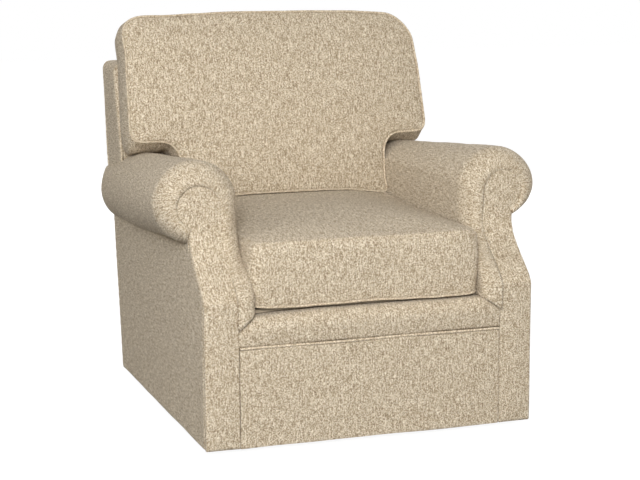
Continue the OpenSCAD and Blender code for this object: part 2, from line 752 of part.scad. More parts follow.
// The back frame's outline from the front, with rounded top corners
module back_frame_outline() {
    translate([-back_half_w, 0]) square([2 * back_half_w, back_frame_z - back_round_r]);
    translate([back_round_r - back_half_w, 0]) square([2 * (back_half_w - back_round_r), back_frame_z]);
    for (side = [-1, 1]) translate([side * (back_half_w - back_round_r), back_frame_z - back_round_r])
        circle(r = back_round_r);
}
module inside_back() {
    t = inside_back_t / cos(cushion_rake);
    edge_z = back_frame_z - inside_back_t * (1 - top_edge_share);
    wide_z = roll_axis_z(inside_back_y) + roll_radius(inside_back_y);
    top_z = back_frame_z - inside_back_t;
    low_z = spring_z + spring_wire + seam;
    color("#bba98a") {
        yz_plate(-inside_x + seam, inside_x - seam) polygon([[inside_y(low_z), low_z],
            [inside_y(low_z) + t, low_z], [inside_y(wide_z) + t, wide_z], [inside_y(wide_z), wide_z]]);
        intersection() {
            yz_plate(-half_w + seam, half_w - seam) polygon([[inside_y(wide_z), wide_z],
                [inside_y(wide_z) + t, wide_z], [inside_y(top_z) + t, top_z], [wood_back_y(top_z), top_z],
                [wood_back_y(back_frame_z), back_frame_z], [inside_y(back_frame_z) + t / 2, back_frame_z],
                [inside_y(edge_z), edge_z]]);
            xz_plate(0, back_reach + body_w) back_frame_outline();
        }
    }
}
module outside_back() {
    slope_h = (back_frame_z - hem_z) / cos(back_rake);
    step_h = (roll_under_z(back_y(roll_z)) - hem_z) / cos(back_rake);
    color("#b09e80") translate([0, back_reach, hem_z]) rotate([-back_rake, 0, 0])
        rotate([90, 0, 0]) linear_extrude(skin_t * cos(back_rake)) {
            translate([-half_w, 0]) square([body_w, step_h]);
            translate([-back_half_w, step_h]) square([2 * back_half_w, slope_h - step_h - back_round_r]);
            translate([back_round_r - back_half_w, slope_h - back_round_r])
                square([2 * (back_half_w - back_round_r), back_round_r]);
            for (side = [-1, 1]) translate([side * (back_half_w - back_round_r), slope_h - back_round_r])
                circle(r = back_round_r);
        }
}
module back_sides() {
    z0 = roll_under_z(back_y(roll_z)) + seam;
    z1 = back_frame_z;
    color("#b09e80") intersection() {
        both_sides() yz_plate(half_w, back_half_w) polygon([[inside_y(z0), z0],
            [wood_back_y(z0), z0], [wood_back_y(z1), z1], [inside_y(z1), z1]]);
        xz_plate(0, back_reach + body_w) back_frame_outline();
    }
}

// Cushions: rings of one outline, drawn in towards the middle as they rise over the crown
crown_shares = [1, 0.95, 0.86, 0.72, 0.54, 0.32];
function crown_share(s) = pow(1 - pow(s, 2.4), 0.8);
function corner(cx, cy, r, a0, a1, n) = [for (i = [0:n]) let (a = a0 + (a1 - a0) * i / n)
    [cx + r * cos(a), cy + r * sin(a)]];
module shell(rings, low_point, high_point) {
    n = len(rings[0]);
    m = len(rings);
    polyhedron(concat([for (ring = rings) for (p = ring) p], [low_point, high_point]), concat(
        [for (j = [0:m - 2]) for (i = [0:n - 1]) [j * n + i, (j + 1) * n + i, j * n + (i + 1) % n]],
        [for (j = [0:m - 2]) for (i = [0:n - 1])
            [j * n + (i + 1) % n, (j + 1) * n + i, (j + 1) * n + (i + 1) % n]],
        [for (i = [0:n - 1]) [m * n, i, (i + 1) % n]],
        [for (i = [0:n - 1]) [m * n + 1, (m - 1) * n + (i + 1) % n, (m - 1) * n + i]]));
}
// Seat cushion
corner_steps = 5;
seat_low_shares = [0.9, 0.97];
seat_fall_lead = 12;
welt_stand = welt_d + seam;
seat_hw = inside_x - welt_stand - 2 * seam;
seat_y0 = front_y + seat_set_back + welt_stand / 2;
seat_y1 = inside_y(deck_z) - welt_stand;
seat_mid_y = (seat_y0 + seat_y1) / 2;
seat_hd = (seat_y1 - seat_y0) / 2;
draw_in = 5;
box_bulge = 4;
seat_low_seam_z = deck_z + welt_d / 2 + 3 * seam;
side_steps = 6;
// One side of the outline, drawn in between its corners
function drawn_side(a, b, inward) = [for (i = [1:side_steps - 1]) let (t = i / side_steps)
    a + (b - a) * t + inward * sin(180 * t)];
seat_outline = let (x = seat_hw, y = seat_hd, r = seat_corner_r) concat(
    corner(x - r, r - y, r, -90, 0, corner_steps), drawn_side([x, r - y], [x, y - r], [-draw_in, 0]),
    corner(x - r, y - r, r, 0, 90, corner_steps), drawn_side([x - r, y], [r - x, y], [0, -draw_in]),
    corner(r - x, y - r, r, 90, 180, corner_steps), drawn_side([-x, y - r], [-x, r - y], [draw_in, 0]),
    corner(r - x, r - y, r, 180, 270, corner_steps), drawn_side([r - x, -y], [x - r, -y], [0, draw_in]));
// The top falls away at the rear, where the back cushion bears on it
function seat_fall(y) = max(0, y - cushion_foot_y + seat_fall_lead) * tan(cushion_rake)
    + seam * min(1, max(0, y));
function seat_ring(s, grow, z, fall_share) = [for (p = seat_outline)
    let (x = p[0] * s * (1 + grow / seat_hw), y = seat_mid_y + p[1] * s * (1 + grow / seat_hd))
    [x, y, z - seat_fall(y) * fall_share]];
box_levels = 4;
module seat_cushion() {
    h = seat_seam_z - seat_low_seam_z;
    color("#c4b08c") shell(concat(
        [seat_ring(seat_low_shares[0], 0, deck_z + seam, 0),
            seat_ring(seat_low_shares[1], 0, deck_z + welt_d / 4, 0)],
        [for (i = [0:box_levels]) let (t = i / box_levels)
            seat_ring(1, box_bulge * sin(180 * t), seat_low_seam_z + h * t, t)],
        [for (i = [1:len(crown_shares) - 1]) let (s = crown_shares[i])
            seat_ring(s, 0, seat_seam_z + seat_crown * crown_share(s), 1)]),
        [0, seat_mid_y, deck_z + seam], [0, seat_mid_y, seat_seam_z + seat_crown]);
}
// Back cushion, drawn flat (x across, v up the slope) and then leaned back
stem_hw = inside_x - stem_gap - welt_stand;
ear_hw = half_w + ear_reach - welt_stand;
top_taper = 10;
top_lean = 5;
bottom_rise = 20;
top_rise = 10;
back_low_shares = [0.93, 0.988];
back_seam_share = 1.5;
mid_share = 0.52;
v_mid = back_cushion_h * mid_share;
bottom_steps = 10;
function half_t_outline() = concat([[stem_hw, 0], [stem_hw, ear_start / 3]],
    corner(stem_hw + notch_r, ear_start - notch_r, notch_r, 180, 90, corner_steps),
    corner(ear_hw - ear_corner_r, ear_start + ear_corner_r, ear_corner_r, -90, 0, 4),
    [[ear_hw - top_taper / 2, (ear_start + back_cushion_h) / 2]],
    corner(ear_hw - top_taper - top_corner_r, back_cushion_h - top_corner_r, top_corner_r, top_lean, 90,
        corner_steps));
function flip(points) = [for (i = [len(points) - 1:-1:0]) [-points[i][0], points[i][1]]];
top_hw = ear_hw - top_taper - top_corner_r;
back_outline = concat(half_t_outline(),
    [for (i = [1:7]) let (t = i / 8) [top_hw * (1 - 2 * t), back_cushion_h + top_rise * sin(180 * t)]],
    flip(half_t_outline()),
    [for (i = [1:bottom_steps - 1]) let (x = stem_hw * (2 * i / bottom_steps - 1))
        [x, bottom_rise * (1 - pow(abs(x) / stem_hw, 4))]]);
function back_ring(s, grow, w) = [for (p = back_outline)
    [p[0] * s * (1 + grow / ear_hw), v_mid + (p[1] - v_mid) * s * (1 + grow / v_mid), w]];
// From flat to place: w runs forward out of the cushion's front face
function lean(p) = [p[0],
    cushion_foot_y + p[1] * sin(cushion_rake) - p[2] * cos(cushion_rake),
    seat_seam_z + welt_stand + seam + p[1] * cos(cushion_rake) + p[2] * sin(cushion_rake)];
function lean_ring(ring) = [for (p = ring) lean(p)];
back_bulge = 6;
module back_cushion() {
    t = back_cushion_t;
    color("#cdb996") shell(concat(
        [lean_ring(back_ring(back_low_shares[0], 0, -t)),
            lean_ring(back_ring(back_low_shares[1], 0, welt_d / 2 - t))],
        [for (i = [0:box_levels]) let (k = i / box_levels)
            lean_ring(back_ring(1, back_bulge * sin(180 * k),
                (back_seam_share * welt_d - t) * (1 - k)))],
        [for (i = [1:len(crown_shares) - 1]) let (s = crown_shares[i])
            lean_ring(back_ring(s, 0, back_crown * crown_share(s)))]),
        lean([0, v_mid, -t]), lean([0, v_mid, back_crown]));
}
// Welts: a round cord, closed on itself, just outside a seam
welt_sides = 6;
function unit(v) = v / norm(v);
module welt_loop(path, up) {
    n = len(path);
    polyhedron([for (i = [0:n - 1]) let (along = unit(path[(i + 1) % n] - path[(i + n - 1) % n]),
            out = unit(cross(along, up)))
        for (k = [0:welt_sides - 1]) let (a = 360 * k / welt_sides)
            path[i] + out * (welt_d / 2 * cos(a) + welt_stand / 2) + up * welt_d / 2 * sin(a)],
        [for (i = [0:n - 1]) for (k = [0:welt_sides - 1]) for (tri = [0, 1])
            let (a = i * welt_sides + k, b = i * welt_sides + (k + 1) % welt_sides,
                c = ((i + 1) % n) * welt_sides + k, d = ((i + 1) % n) * welt_sides + (k + 1) % welt_sides)
            tri == 0 ? [a, b, c] : [b, d, c]]);
}
module cushion_welts() {
    color("#dccaa8") {
        welt_loop(seat_ring(1, seam, seat_low_seam_z, 0), [0, 0, 1]);
        welt_loop(lean_ring(back_ring(1, seam, 0)), [0, -cos(cushion_rake), sin(cushion_rake)]);
    }
}

floor_pads();
floor_ring();
ring_crossbars();
lower_swivel_plate();
bearing_balls();
swivel_bolt();
swivel_nut();
upper_swivel_plate();
base_cross_bars();
plate_bolts();
base_side(-1);  // base_side_left
base_side(1);  // base_side_right
top_pivot_pins();
top_pin_clips();
bump_stops();
link(-1, -pivot_y);  // front_link_left
link(1, -pivot_y);  // front_link_right
link_bushes(-pivot_y);  // front_link_bushes
link(-1, pivot_y);  // rear_link_left
link(1, pivot_y);  // rear_link_right
link_bushes(pivot_y);  // rear_link_bushes
carriage_rail(-1);  // carriage_rail_left
carriage_rail(1);  // carriage_rail_right
bottom_pivot_pins();
bottom_pin_clips();
mounting_bolts();
mounting_stretchers();
front_lower_rail();
side_lower_rails();
back_lower_rail();
front_seat_rail();
side_seat_rails();
back_seat_rail();
corner_blocks();
arm_posts();
arm_top_boards();
back_posts();
back_cross_rails();
seat_springs();
spring_clips();
back_webbing();
seat_deck();
dust_cover();
front_nosing();
front_apron();
apron_welt();
outside_arm(-1);  // outside_arm_left
outside_arm(1);  // outside_arm_right
inside_arm(-1);  // inside_arm_left
inside_arm(1);  // inside_arm_right
arm_roll(-1);  // arm_roll_left
arm_roll(1);  // arm_roll_right
arm_front(-1);  // arm_front_left
arm_front(1);  // arm_front_right
inside_back();
outside_back();
back_sides();
seat_cushion();
back_cushion();
cushion_welts();
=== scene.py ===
# %% [markdown]
# A club chair in oatmeal tweed that swivels and glides. The wooden frame and the steel mechanism come from
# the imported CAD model. This file adds what shows: the padded, sewn covers, the two loose cushions and the
# finishes.
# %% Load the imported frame
import json
import math

import bpy
import numpy as np
from mathutils import Matrix, Vector, noise
from mathutils.bvhtree import BVHTree


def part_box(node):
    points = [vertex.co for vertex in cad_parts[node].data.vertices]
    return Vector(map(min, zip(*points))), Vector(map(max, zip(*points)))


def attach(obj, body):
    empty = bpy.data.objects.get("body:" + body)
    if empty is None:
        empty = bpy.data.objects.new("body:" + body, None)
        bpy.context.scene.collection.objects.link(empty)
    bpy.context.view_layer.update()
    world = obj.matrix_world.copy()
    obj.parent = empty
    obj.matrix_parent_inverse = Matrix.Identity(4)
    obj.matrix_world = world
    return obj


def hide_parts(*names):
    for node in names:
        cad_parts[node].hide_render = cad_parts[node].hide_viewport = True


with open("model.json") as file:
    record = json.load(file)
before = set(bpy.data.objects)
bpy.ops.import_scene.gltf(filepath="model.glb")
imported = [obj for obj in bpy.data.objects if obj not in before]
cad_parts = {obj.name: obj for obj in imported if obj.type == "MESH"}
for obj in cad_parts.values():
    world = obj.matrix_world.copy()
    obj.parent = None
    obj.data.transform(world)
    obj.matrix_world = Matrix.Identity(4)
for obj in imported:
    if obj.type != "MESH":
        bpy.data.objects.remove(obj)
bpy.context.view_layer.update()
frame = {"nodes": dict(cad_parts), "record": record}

NODES = frame["nodes"]
print("CAD nodes:", len(NODES))

# %% [markdown]
# The photograph was taken from the chair's left front, a little above the arms, with a long lens. The place
# and the turn of the camera were worked out from the chair's straight edges, so they are plain numbers.
# %% Camera
AZIMUTH, DIP, TILT = math.radians(18.992), math.radians(9.981), math.radians(-0.265)
ahead = Vector((math.sin(AZIMUTH) * math.cos(DIP), math.cos(AZIMUTH) * math.cos(DIP), -math.sin(DIP)))
level = Vector((math.cos(AZIMUTH), -math.sin(AZIMUTH), 0))
above = level.cross(ahead)
across = level * math.cos(TILT) + above * math.sin(TILT)
upward = above * math.cos(TILT) - level * math.sin(TILT)
bpy.ops.object.camera_add()
camera = bpy.context.object
camera.name = "camera"
camera.data.lens = 98.78
camera.data.sensor_width = 36
turn = Matrix((across, upward, -ahead)).transposed()
camera.matrix_world = Matrix.Translation((-1.395, -4.172, 1.169)) @ turn.to_4x4()
bpy.context.scene.camera = camera
print("camera lens", camera.data.lens, "mm")

# %% [markdown]
# Studio light for cloth is broad and soft: one large soft box near the camera, weaker ones all round, and a
# pale surround that lifts the shade. The camera sees the surround as plain white.
# %% Light
CHAIR_MIDDLE = Vector((0, 0, 0.45))
SOFT_BOXES = (("key_light", (-1.75, -4.33, 2.24), 1.6, 196), ("fill_light", (3.0, -3.4, 1.5), 2.4, 22),
              ("low_light", (-0.9, -3.2, 0.55), 1.3, 9), ("side_light", (-3.6, -0.9, 1.9), 1.8, 22),
              ("back_light", (1.2, 3.8, 1.1), 2.0, 76), ("far_side_light", (3.5, 0.7, 0.6), 1.6, 20))
for name, place, width, watts in SOFT_BOXES:
    bpy.ops.object.light_add(type="AREA", location=place)
    lamp = bpy.context.object
    lamp.name = name
    lamp.data.size = width
    lamp.data.energy = watts
    lamp.rotation_euler = (CHAIR_MIDDLE - Vector(place)).to_track_quat("-Z", "Y").to_euler()
print("soft boxes:", len(SOFT_BOXES))

scene = bpy.context.scene
scene.view_settings.view_transform = "Standard"
world = bpy.data.worlds.new("studio")
scene.world = world
world.use_nodes = True


def add_node(tree, kind, inputs=None, **props):
    """Adds a shader node; an input is a value or another node's output."""
    node = tree.nodes.new("ShaderNode" + kind)
    for key, value in props.items():
        setattr(node, key, value)
    for key, value in (inputs or {}).items():
        if isinstance(value, bpy.types.NodeSocket):
            tree.links.new(value, node.inputs[key])
        else:
            node.inputs[key].default_value = value
    return node


def math_node(tree, operation, first, second=0.0, third=0.0):
    return add_node(tree, "Math", {0: first, 1: second, 2: third}, operation=operation).outputs[0]


def times(tree, first, second):
    return math_node(tree, "MULTIPLY", first, second)


def plus(tree, first, second):
    return math_node(tree, "ADD", first, second)


def new_material(name):
    material = bpy.data.materials.new(name)
    material.use_nodes = True
    material.node_tree.nodes.clear()
    return material, material.node_tree


def seen_directly(tree):
    """1 where the camera, a mirror or clear glass looks straight at the surface, and 0 for its light."""
    path = add_node(tree, "LightPath")
    either = math_node(tree, "MAXIMUM", path.outputs["Is Camera Ray"], path.outputs["Is Glossy Ray"])
    return math_node(tree, "MAXIMUM", either, path.outputs["Is Transmission Ray"])


tree = world.node_tree
tree.nodes.clear()
AMBIENT = 0.36
bounce = add_node(tree, "Background", {"Color": (1, 0.945, 0.865, 1), "Strength": AMBIENT})
backdrop = add_node(tree, "Background", {"Color": (1, 1, 1, 1), "Strength": 1.0})
either = add_node(tree, "MixShader", {0: seen_directly(tree), 1: bounce.outputs[0], 2: backdrop.outputs[0]})
add_node(tree, "OutputWorld", {"Surface": either.outputs[0]})

# %% [markdown]
# The floor is a wide pale sheet. To the camera it glows almost white, and it still takes the chair's soft
# shadow.
# %% Floor
bpy.ops.mesh.primitive_plane_add(size=24, location=(0, 0, -0.0005))
floor = bpy.context.object
floor.name = "studio_floor"
paint, tree = new_material("floor_paint")
FLOOR_GLOW = 0.94
glow = times(tree, seen_directly(tree), FLOOR_GLOW)
body = add_node(tree, "BsdfDiffuse", {"Color": (0.20, 0.20, 0.20, 1)})
shine = add_node(tree, "Emission", {"Color": (1, 1, 1, 1), "Strength": glow})
both = add_node(tree, "AddShader", {0: body.outputs[0], 1: shine.outputs[0]})
add_node(tree, "OutputMaterial", {"Surface": both.outputs[0]})
floor.data.materials.append(paint)

# %% [markdown]
# A real finish is a colour that varies, some roughness and a little relief. Painted pictures would blur close
# up, so each finish is built from noise, by the same few steps.
# %% Material helpers
def finish_material(tree, base, roughness, height, relief, strength, **more):
    """Ends a material: its surface, with a bump of a height in metres."""
    bump = add_node(tree, "Bump", {"Height": height, "Distance": relief, "Strength": strength})
    inputs = {"Base Color": base, "Roughness": roughness, "Normal": bump.outputs[0]}
    inputs.update({key.replace("_", " "): value for key, value in more.items()})
    shader = add_node(tree, "BsdfPrincipled", inputs)
    add_node(tree, "OutputMaterial", {"Surface": shader.outputs[0]})


def colour_ramp(tree, value, stops):
    ramp = add_node(tree, "ValToRGB", {"Fac": value})
    while len(ramp.color_ramp.elements) < len(stops):
        ramp.color_ramp.elements.new(0.5)
    for element, (place, colour) in zip(ramp.color_ramp.elements, stops):
        element.position = place
        element.color = (*colour, 1)
    return ramp.outputs["Color"]


def vector_of(tree, x, y, z=0.0):
    return add_node(tree, "CombineXYZ", {"X": x, "Y": y, "Z": z}).outputs[0]


def noise_of(tree, vector, scale, detail, output="Fac"):
    noise_node = add_node(tree, "TexNoise", {"Vector": vector, "Scale": scale, "Detail": detail})
    return noise_node.outputs[output]


# %% [markdown]
# The cover is a plain-woven tweed with thick, uneven yarns. Each yarn keeps its own shade for a centimetre or
# two, and lies over and under its neighbours. Painted light lightens each yarn's crown, and painted shade
# darkens the dips between the yarns. The pattern follows the cloth, so it reads a UV map in metres.
# %% Tweed
YARN, WELT_YARN = 0.0021, 0.0017
WANDER, SLUB, LANE_STEP = 0.9, 0.42, 3.71


def tweed(name, shades, yarn=YARN, relief=0.0011):
    """A plain weave: x and y count its warp and weft yarns, and each yarn's shade drifts along it."""
    material, tree = new_material(name)
    cloth = add_node(tree, "UVMap", uv_map="Weave").outputs["UV"]
    flat = add_node(tree, "SeparateXYZ", {"Vector": cloth})
    wander = add_node(tree, "SeparateXYZ", {"Vector": noise_of(tree, cloth, 70, 1, "Color")})
    lanes = []
    for axis in "XY":
        place = times(tree, flat.outputs[axis], 1 / yarn)
        lanes.append(math_node(tree, "MULTIPLY_ADD", wander.outputs[axis], WANDER, place))
    x, y = lanes
    crossing = times(tree, math_node(tree, "SINE", times(tree, x, math.pi)),
                     math_node(tree, "SINE", times(tree, y, math.pi)))
    warp_above = math_node(tree, "GREATER_THAN", crossing, 0)
    warp_place = vector_of(tree, times(tree, math_node(tree, "FLOOR", x), LANE_STEP), times(tree, y, SLUB))
    weft_place = vector_of(tree, times(tree, x, SLUB * 1.3),
                           times(tree, math_node(tree, "FLOOR", y), LANE_STEP), 9.0)
    warp = noise_of(tree, warp_place, 1.0, 0)
    weft = noise_of(tree, weft_place, 1.0, 0)
    gap = math_node(tree, "SUBTRACT", warp, weft)
    yarn_shade = math_node(tree, "MULTIPLY_ADD", gap, warp_above, weft)
    strong = math_node(tree, "MULTIPLY_ADD", yarn_shade, 1.05, -0.025)
    tall = add_node(tree, "Mapping", {"Vector": cloth, "Scale": (310, 42, 1)}).outputs[0]

    def drift(place, scale, detail, amount):
        return math_node(tree, "MULTIPLY_ADD", noise_of(tree, place, scale, detail), amount, -amount / 2)

    # streaks along the warp, then broad blotches and small flecks
    shade = plus(tree, plus(tree, strong, drift(tall, 1, 1, 0.56)),
                 plus(tree, drift(cloth, 60, 2, 0.13), drift(cloth, 620, 0, 0.75)))
    # painted light and shade: each yarn's crown is painted lighter and the dips between the yarns darker
    dome = math_node(tree, "POWER", math_node(tree, "ABSOLUTE", crossing), 0.5)
    yarn_tone_with_painted_shade = math_node(tree, "MULTIPLY_ADD", dome, 0.10, math_node(tree, "SUBTRACT", shade, 0.05))
    colour = colour_ramp(tree, yarn_tone_with_painted_shade, shades)
    height = times(tree, dome, plus(tree, yarn_shade, 0.5))
    finish_material(tree, colour, 0.92, height, relief, 0.6, Sheen_Weight=0.12, Sheen_Roughness=0.5,
                    Specular_IOR_Level=0.2)
    return material


OATMEAL = [(0.26, (0.23, 0.165, 0.10)), (0.40, (0.40, 0.315, 0.21)), (0.52, (0.55, 0.455, 0.325)),
           (0.64, (0.70, 0.605, 0.46)), (0.80, (0.86, 0.79, 0.66))]
tweed_cover = tweed("oatmeal_tweed", OATMEAL)
# painted highlight: the welt takes the cover's shades, painted 12% lighter for the light a raised cord
# catches
WELT_SHADES_PAINTED_LIGHTER = [(place, tuple(min(1, c * 1.12) for c in colour)) for place, colour in OATMEAL]
welt_cover = tweed("bias_cut_tweed_painted_lighter", WELT_SHADES_PAINTED_LIGHTER, WELT_YARN, 0.0006)
print("tweeds:", tweed_cover.name, welt_cover.name)

# %% [markdown]
# Inside, the chair is plain: sawn hardwood, black enamelled steel, zinc-plated pins and bolts, oiled spring
# wire, nylon bushes, rubber pads, jute webbing and a black dust cover. The finishes read Object coordinates.
# %% Finishes of the frame and the mechanism
def object_place(tree):
    return add_node(tree, "TexCoord").outputs["Object"]


def sawn_wood():
    material, tree = new_material("sawn_hardwood")
    place = object_place(tree)
    stretched = add_node(tree, "Mapping", {"Vector": place, "Scale": (3, 30, 30)}).outputs[0]
    grain = noise_of(tree, stretched, 3, 6)
    rings = math_node(tree, "FRACT", times(tree, grain, 9))
    pores = times(tree, noise_of(tree, place, 200, 3), 0.5)
    tone = math_node(tree, "MULTIPLY_ADD", rings, 0.35, pores)
    shades = [(0.15, (0.42, 0.27, 0.14)), (0.5, (0.60, 0.43, 0.25)), (0.8, (0.72, 0.55, 0.35))]
    colour = colour_ramp(tree, tone, shades)
    finish_material(tree, colour, 0.72, tone, 0.0006, 0.5)
    return material


def mottled(name, low, high, scale, roughness, relief, **more):
    """A finish whose colour drifts between two shades, with a fine grain."""
    material, tree = new_material(name)
    place = object_place(tree)
    drift = noise_of(tree, place, scale, 4)
    colour = colour_ramp(tree, drift, [(0.3, low), (0.7, high)])
    grain = noise_of(tree, place, scale * 12, 2)
    finish_material(tree, colour, roughness, grain, relief, 0.4, **more)
    return material


def woven(name, low, high, pitch):
    """A plain weave of thin tapes on Object coordinates, for what lies flat under the chair."""
    material, tree = new_material(name)
    flat = add_node(tree, "SeparateXYZ", {"Vector": object_place(tree)})
    waves = [math_node(tree, "SINE", times(tree, flat.outputs[axis], math.pi / pitch)) for axis in "XYZ"]
    mesh = plus(tree, times(tree, waves[0], waves[1]), times(tree, waves[0], waves[2]))
    tone = math_node(tree, "MULTIPLY_ADD", mesh, 0.2, noise_of(tree, object_place(tree), 90, 3))
    colour = colour_ramp(tree, tone, [(0.3, low), (0.7, high)])
    finish_material(tree, colour, 0.9, mesh, 0.0005, 0.5)
    return material


FINISHES = {
    "hardwood": sawn_wood(),
    "black_steel": mottled("black_enamel", (0.012, 0.012, 0.014), (0.03, 0.03, 0.033), 40, 0.38, 0.0002,
                           Coat_Weight=0.3, Coat_Roughness=0.25),
    "bright_steel": mottled("zinc_plate", (0.48, 0.48, 0.47), (0.66, 0.66, 0.64), 160, 0.34, 0.0001,
                            Metallic=1.0),
    "spring_steel": mottled("oiled_wire", (0.16, 0.155, 0.15), (0.28, 0.27, 0.26), 120, 0.3, 0.0001,
                            Metallic=1.0),
    "nylon": mottled("natural_nylon", (0.74, 0.72, 0.64), (0.84, 0.82, 0.75), 80, 0.45, 0.0001),
    "rubber": mottled("black_rubber", (0.018, 0.018, 0.018), (0.04, 0.04, 0.04), 120, 0.8, 0.0003),
    "webbing": woven("jute_webbing", (0.26, 0.16, 0.07), (0.46, 0.31, 0.16), 0.004),
    "deck_felt": woven("deck_cloth", (0.42, 0.35, 0.25), (0.58, 0.49, 0.37), 0.0015),
    "cambric": woven("black_cambric", (0.010, 0.010, 0.011), (0.03, 0.03, 0.032), 0.001),
}
for row in frame["record"]["subparts"]:
    if row["material_slot"] in FINISHES:
        materials = NODES[row["node"]].data.materials
        materials.clear()
        materials.append(FINISHES[row["material_slot"]])
print("finishes:", sorted(FINISHES))
FINISHES["tweed"], FINISHES["welt_cord"] = tweed_cover, welt_cover

# %% [markdown]
# The covers repeat the sizes of the part, in metres, from the floor and the swivel axis.
# %% Sizes of the chair
INSIDE_X, HALF_W, BACK_HALF = 0.283, 0.400, 0.408
FRONT_Y, SCROLL_Y, ROLL_FACE_Y = -0.490, -0.372, -0.365
POST_X = 0.319
SHOULDER_Z, NECK_Z = 0.352, 0.500
ROLL_X, ROLL_Z, ROLL_R, ROLL_TAPER = 0.3775, 0.5585, 0.0965, 0.016
ROLL_FALL, ROLL_TOE = math.tan(math.radians(3.6)), math.tan(math.radians(2.1))
FACING_Z, FACING_R = 0.5525, 0.055
DECK_Z, HEM_Z, WELT_Z = 0.322, 0.015, 0.246
SEAT_SEAM_Z, SEAT_LOW_Z = 0.478, 0.3259
BACK_RAKE, CUSHION_RAKE = math.radians(9.4), math.radians(16)
CUSHION_FOOT_Y, CUSHION_DEPTH, CUSHION_LIFT = 0.130, 0.118, 0.0066
SEAM = 0.0003
LEFT_SAG, LEFT_LEAN = 0.005, 1.4


def back_y(z):
    return 0.3602 + (z - HEM_Z) * math.tan(BACK_RAKE)


def inside_y(z):
    foot = CUSHION_FOOT_Y + CUSHION_DEPTH / math.cos(CUSHION_RAKE) + 2 * SEAM
    return foot + (z - SEAT_SEAM_Z) * math.tan(CUSHION_RAKE)


def neck_y(z):
    """Where the arm front stands at a height: upright, then sloping back to the scroll."""
    t = min(max((z - SHOULDER_Z) / (NECK_Z - SHOULDER_Z), 0), 1) ** 0.75
    return FRONT_Y + (SCROLL_Y - FRONT_Y) * t * t * (3 - 2 * t)


ROLL_LENGTH = back_y(ROLL_Z) - ROLL_FACE_Y


def smooth(t):
    t = min(max(t, 0), 1)
    return t * t * (3 - 2 * t)


def ramp(values):
    """Rises from 0 to 1 and stays there."""
    return np.clip(values, 0, 1)


def bell(distance, width):
    """1 at no distance, falling away evenly on both sides."""
    return np.exp(-(distance / width) ** 2)


def roll_at(y, side=1):
    """The arm roll's axis (x, z) and radius at a distance from front to back; the left one sags a little."""
    run = y - ROLL_FACE_Y
    sag = LEFT_SAG * max(run, 0) / ROLL_LENGTH if side < 0 else 0
    radius = ROLL_R - ROLL_TAPER * run / ROLL_LENGTH
    return ROLL_X - run * ROLL_TOE - LEFT_LEAN * sag, ROLL_Z - run * ROLL_FALL - sag, radius


# %% [markdown]
# Many steps repeat: make a piece from points, apply a modifier, read the points back and move them.
# %% Mesh helpers
def select_only(piece):
    bpy.ops.object.select_all(action="DESELECT")
    piece.select_set(True)
    bpy.context.view_layer.objects.active = piece


def apply_modifier(piece, kind, **settings):
    select_only(piece)
    modifier = piece.modifiers.new("shape", kind)
    for key, value in settings.items():
        setattr(modifier, key, value)
    bpy.ops.object.modifier_apply(modifier=modifier.name)


FILL_ENDS = (bpy.ops.mesh.fill_holes, {"sides": 0})
OUTWARD = (bpy.ops.mesh.normals_make_consistent, {"inside": False})


def merge_within(distance):
    return bpy.ops.mesh.remove_doubles, {"threshold": distance}


def edit_whole(piece, *steps):
    """Runs mesh operators, each with its settings, on the whole piece in Edit Mode."""
    select_only(piece)
    bpy.ops.object.mode_set(mode="EDIT")
    bpy.ops.mesh.select_all(action="SELECT")
    for operator, settings in steps:
        operator(**settings)
    bpy.ops.object.mode_set(mode="OBJECT")


def new_piece(name, points, faces):
    mesh = bpy.data.meshes.new(name)
    mesh.from_pydata([tuple(p) for p in points], [], faces)
    mesh.update()
    piece = bpy.data.objects.new(name, mesh)
    bpy.context.scene.collection.objects.link(piece)
    return piece


def points_of(piece, what="co"):
    values = np.empty(len(piece.data.vertices) * 3, np.float64)
    piece.data.vertices.foreach_get(what, values)
    return values.reshape(-1, 3)


def normals_of(piece):
    return points_of(piece, "normal")


def set_points(piece, points):
    piece.data.vertices.foreach_set("co", np.ascontiguousarray(points, np.float64).ravel())
    piece.data.update()


# %% [markdown]
# Covers are made as grids of points, row by row, the way cloth is laid on a frame. Unwrapping a finished mesh
# would bend the weave, so each grid gets a UV map in metres from the lengths along its rows and columns.
# %% Cloth from rows of points
def cloth_grid(name, grid, around=False, reference=None, railroaded=False):
    """A piece of cloth from rows of points, with its UV map; around joins the first and last point of a row.
    With a reference row, the yarns that run across the rows keep the spacing that they have there.
    Railroaded cloth lies with its warp along the piece, from its first row to its last."""
    grid = np.asarray(grid, float)
    rows, count = grid.shape[:2]
    cells = count if around else count - 1
    faces = [(j * count + i, j * count + (i + 1) % count,
              (j + 1) * count + (i + 1) % count, (j + 1) * count + i)
             for j in range(rows - 1) for i in range(cells)]
    piece = new_piece(name, grid.reshape(-1, 3), faces)
    wrapped = np.concatenate([grid, grid[:, :1]], 1)
    steps = np.linalg.norm(np.diff(wrapped, axis=1), axis=2)
    along_row = np.concatenate([np.zeros((rows, 1)), np.cumsum(steps, 1)], 1)
    steps = np.linalg.norm(np.diff(grid, axis=0), axis=2)
    down = np.concatenate([np.zeros((1, count)), np.cumsum(steps, 0)], 0)
    if reference is not None:
        along_row = np.repeat(along_row[reference:reference + 1], rows, 0)
        down = down - down[reference] - grid[reference, :, 1]
    down = np.concatenate([down, down[:, :1]], 1)
    weave = piece.data.uv_layers.new(name="Weave")
    values = []
    for j in range(rows - 1):
        for i in range(cells):
            for jj, ii in ((j, i), (j, i + 1), (j + 1, i + 1), (j + 1, i)):
                place = (along_row[jj, ii], down[jj, ii])
                values += place if railroaded else place[::-1]
    weave.data.foreach_set("uv", values)
    return piece


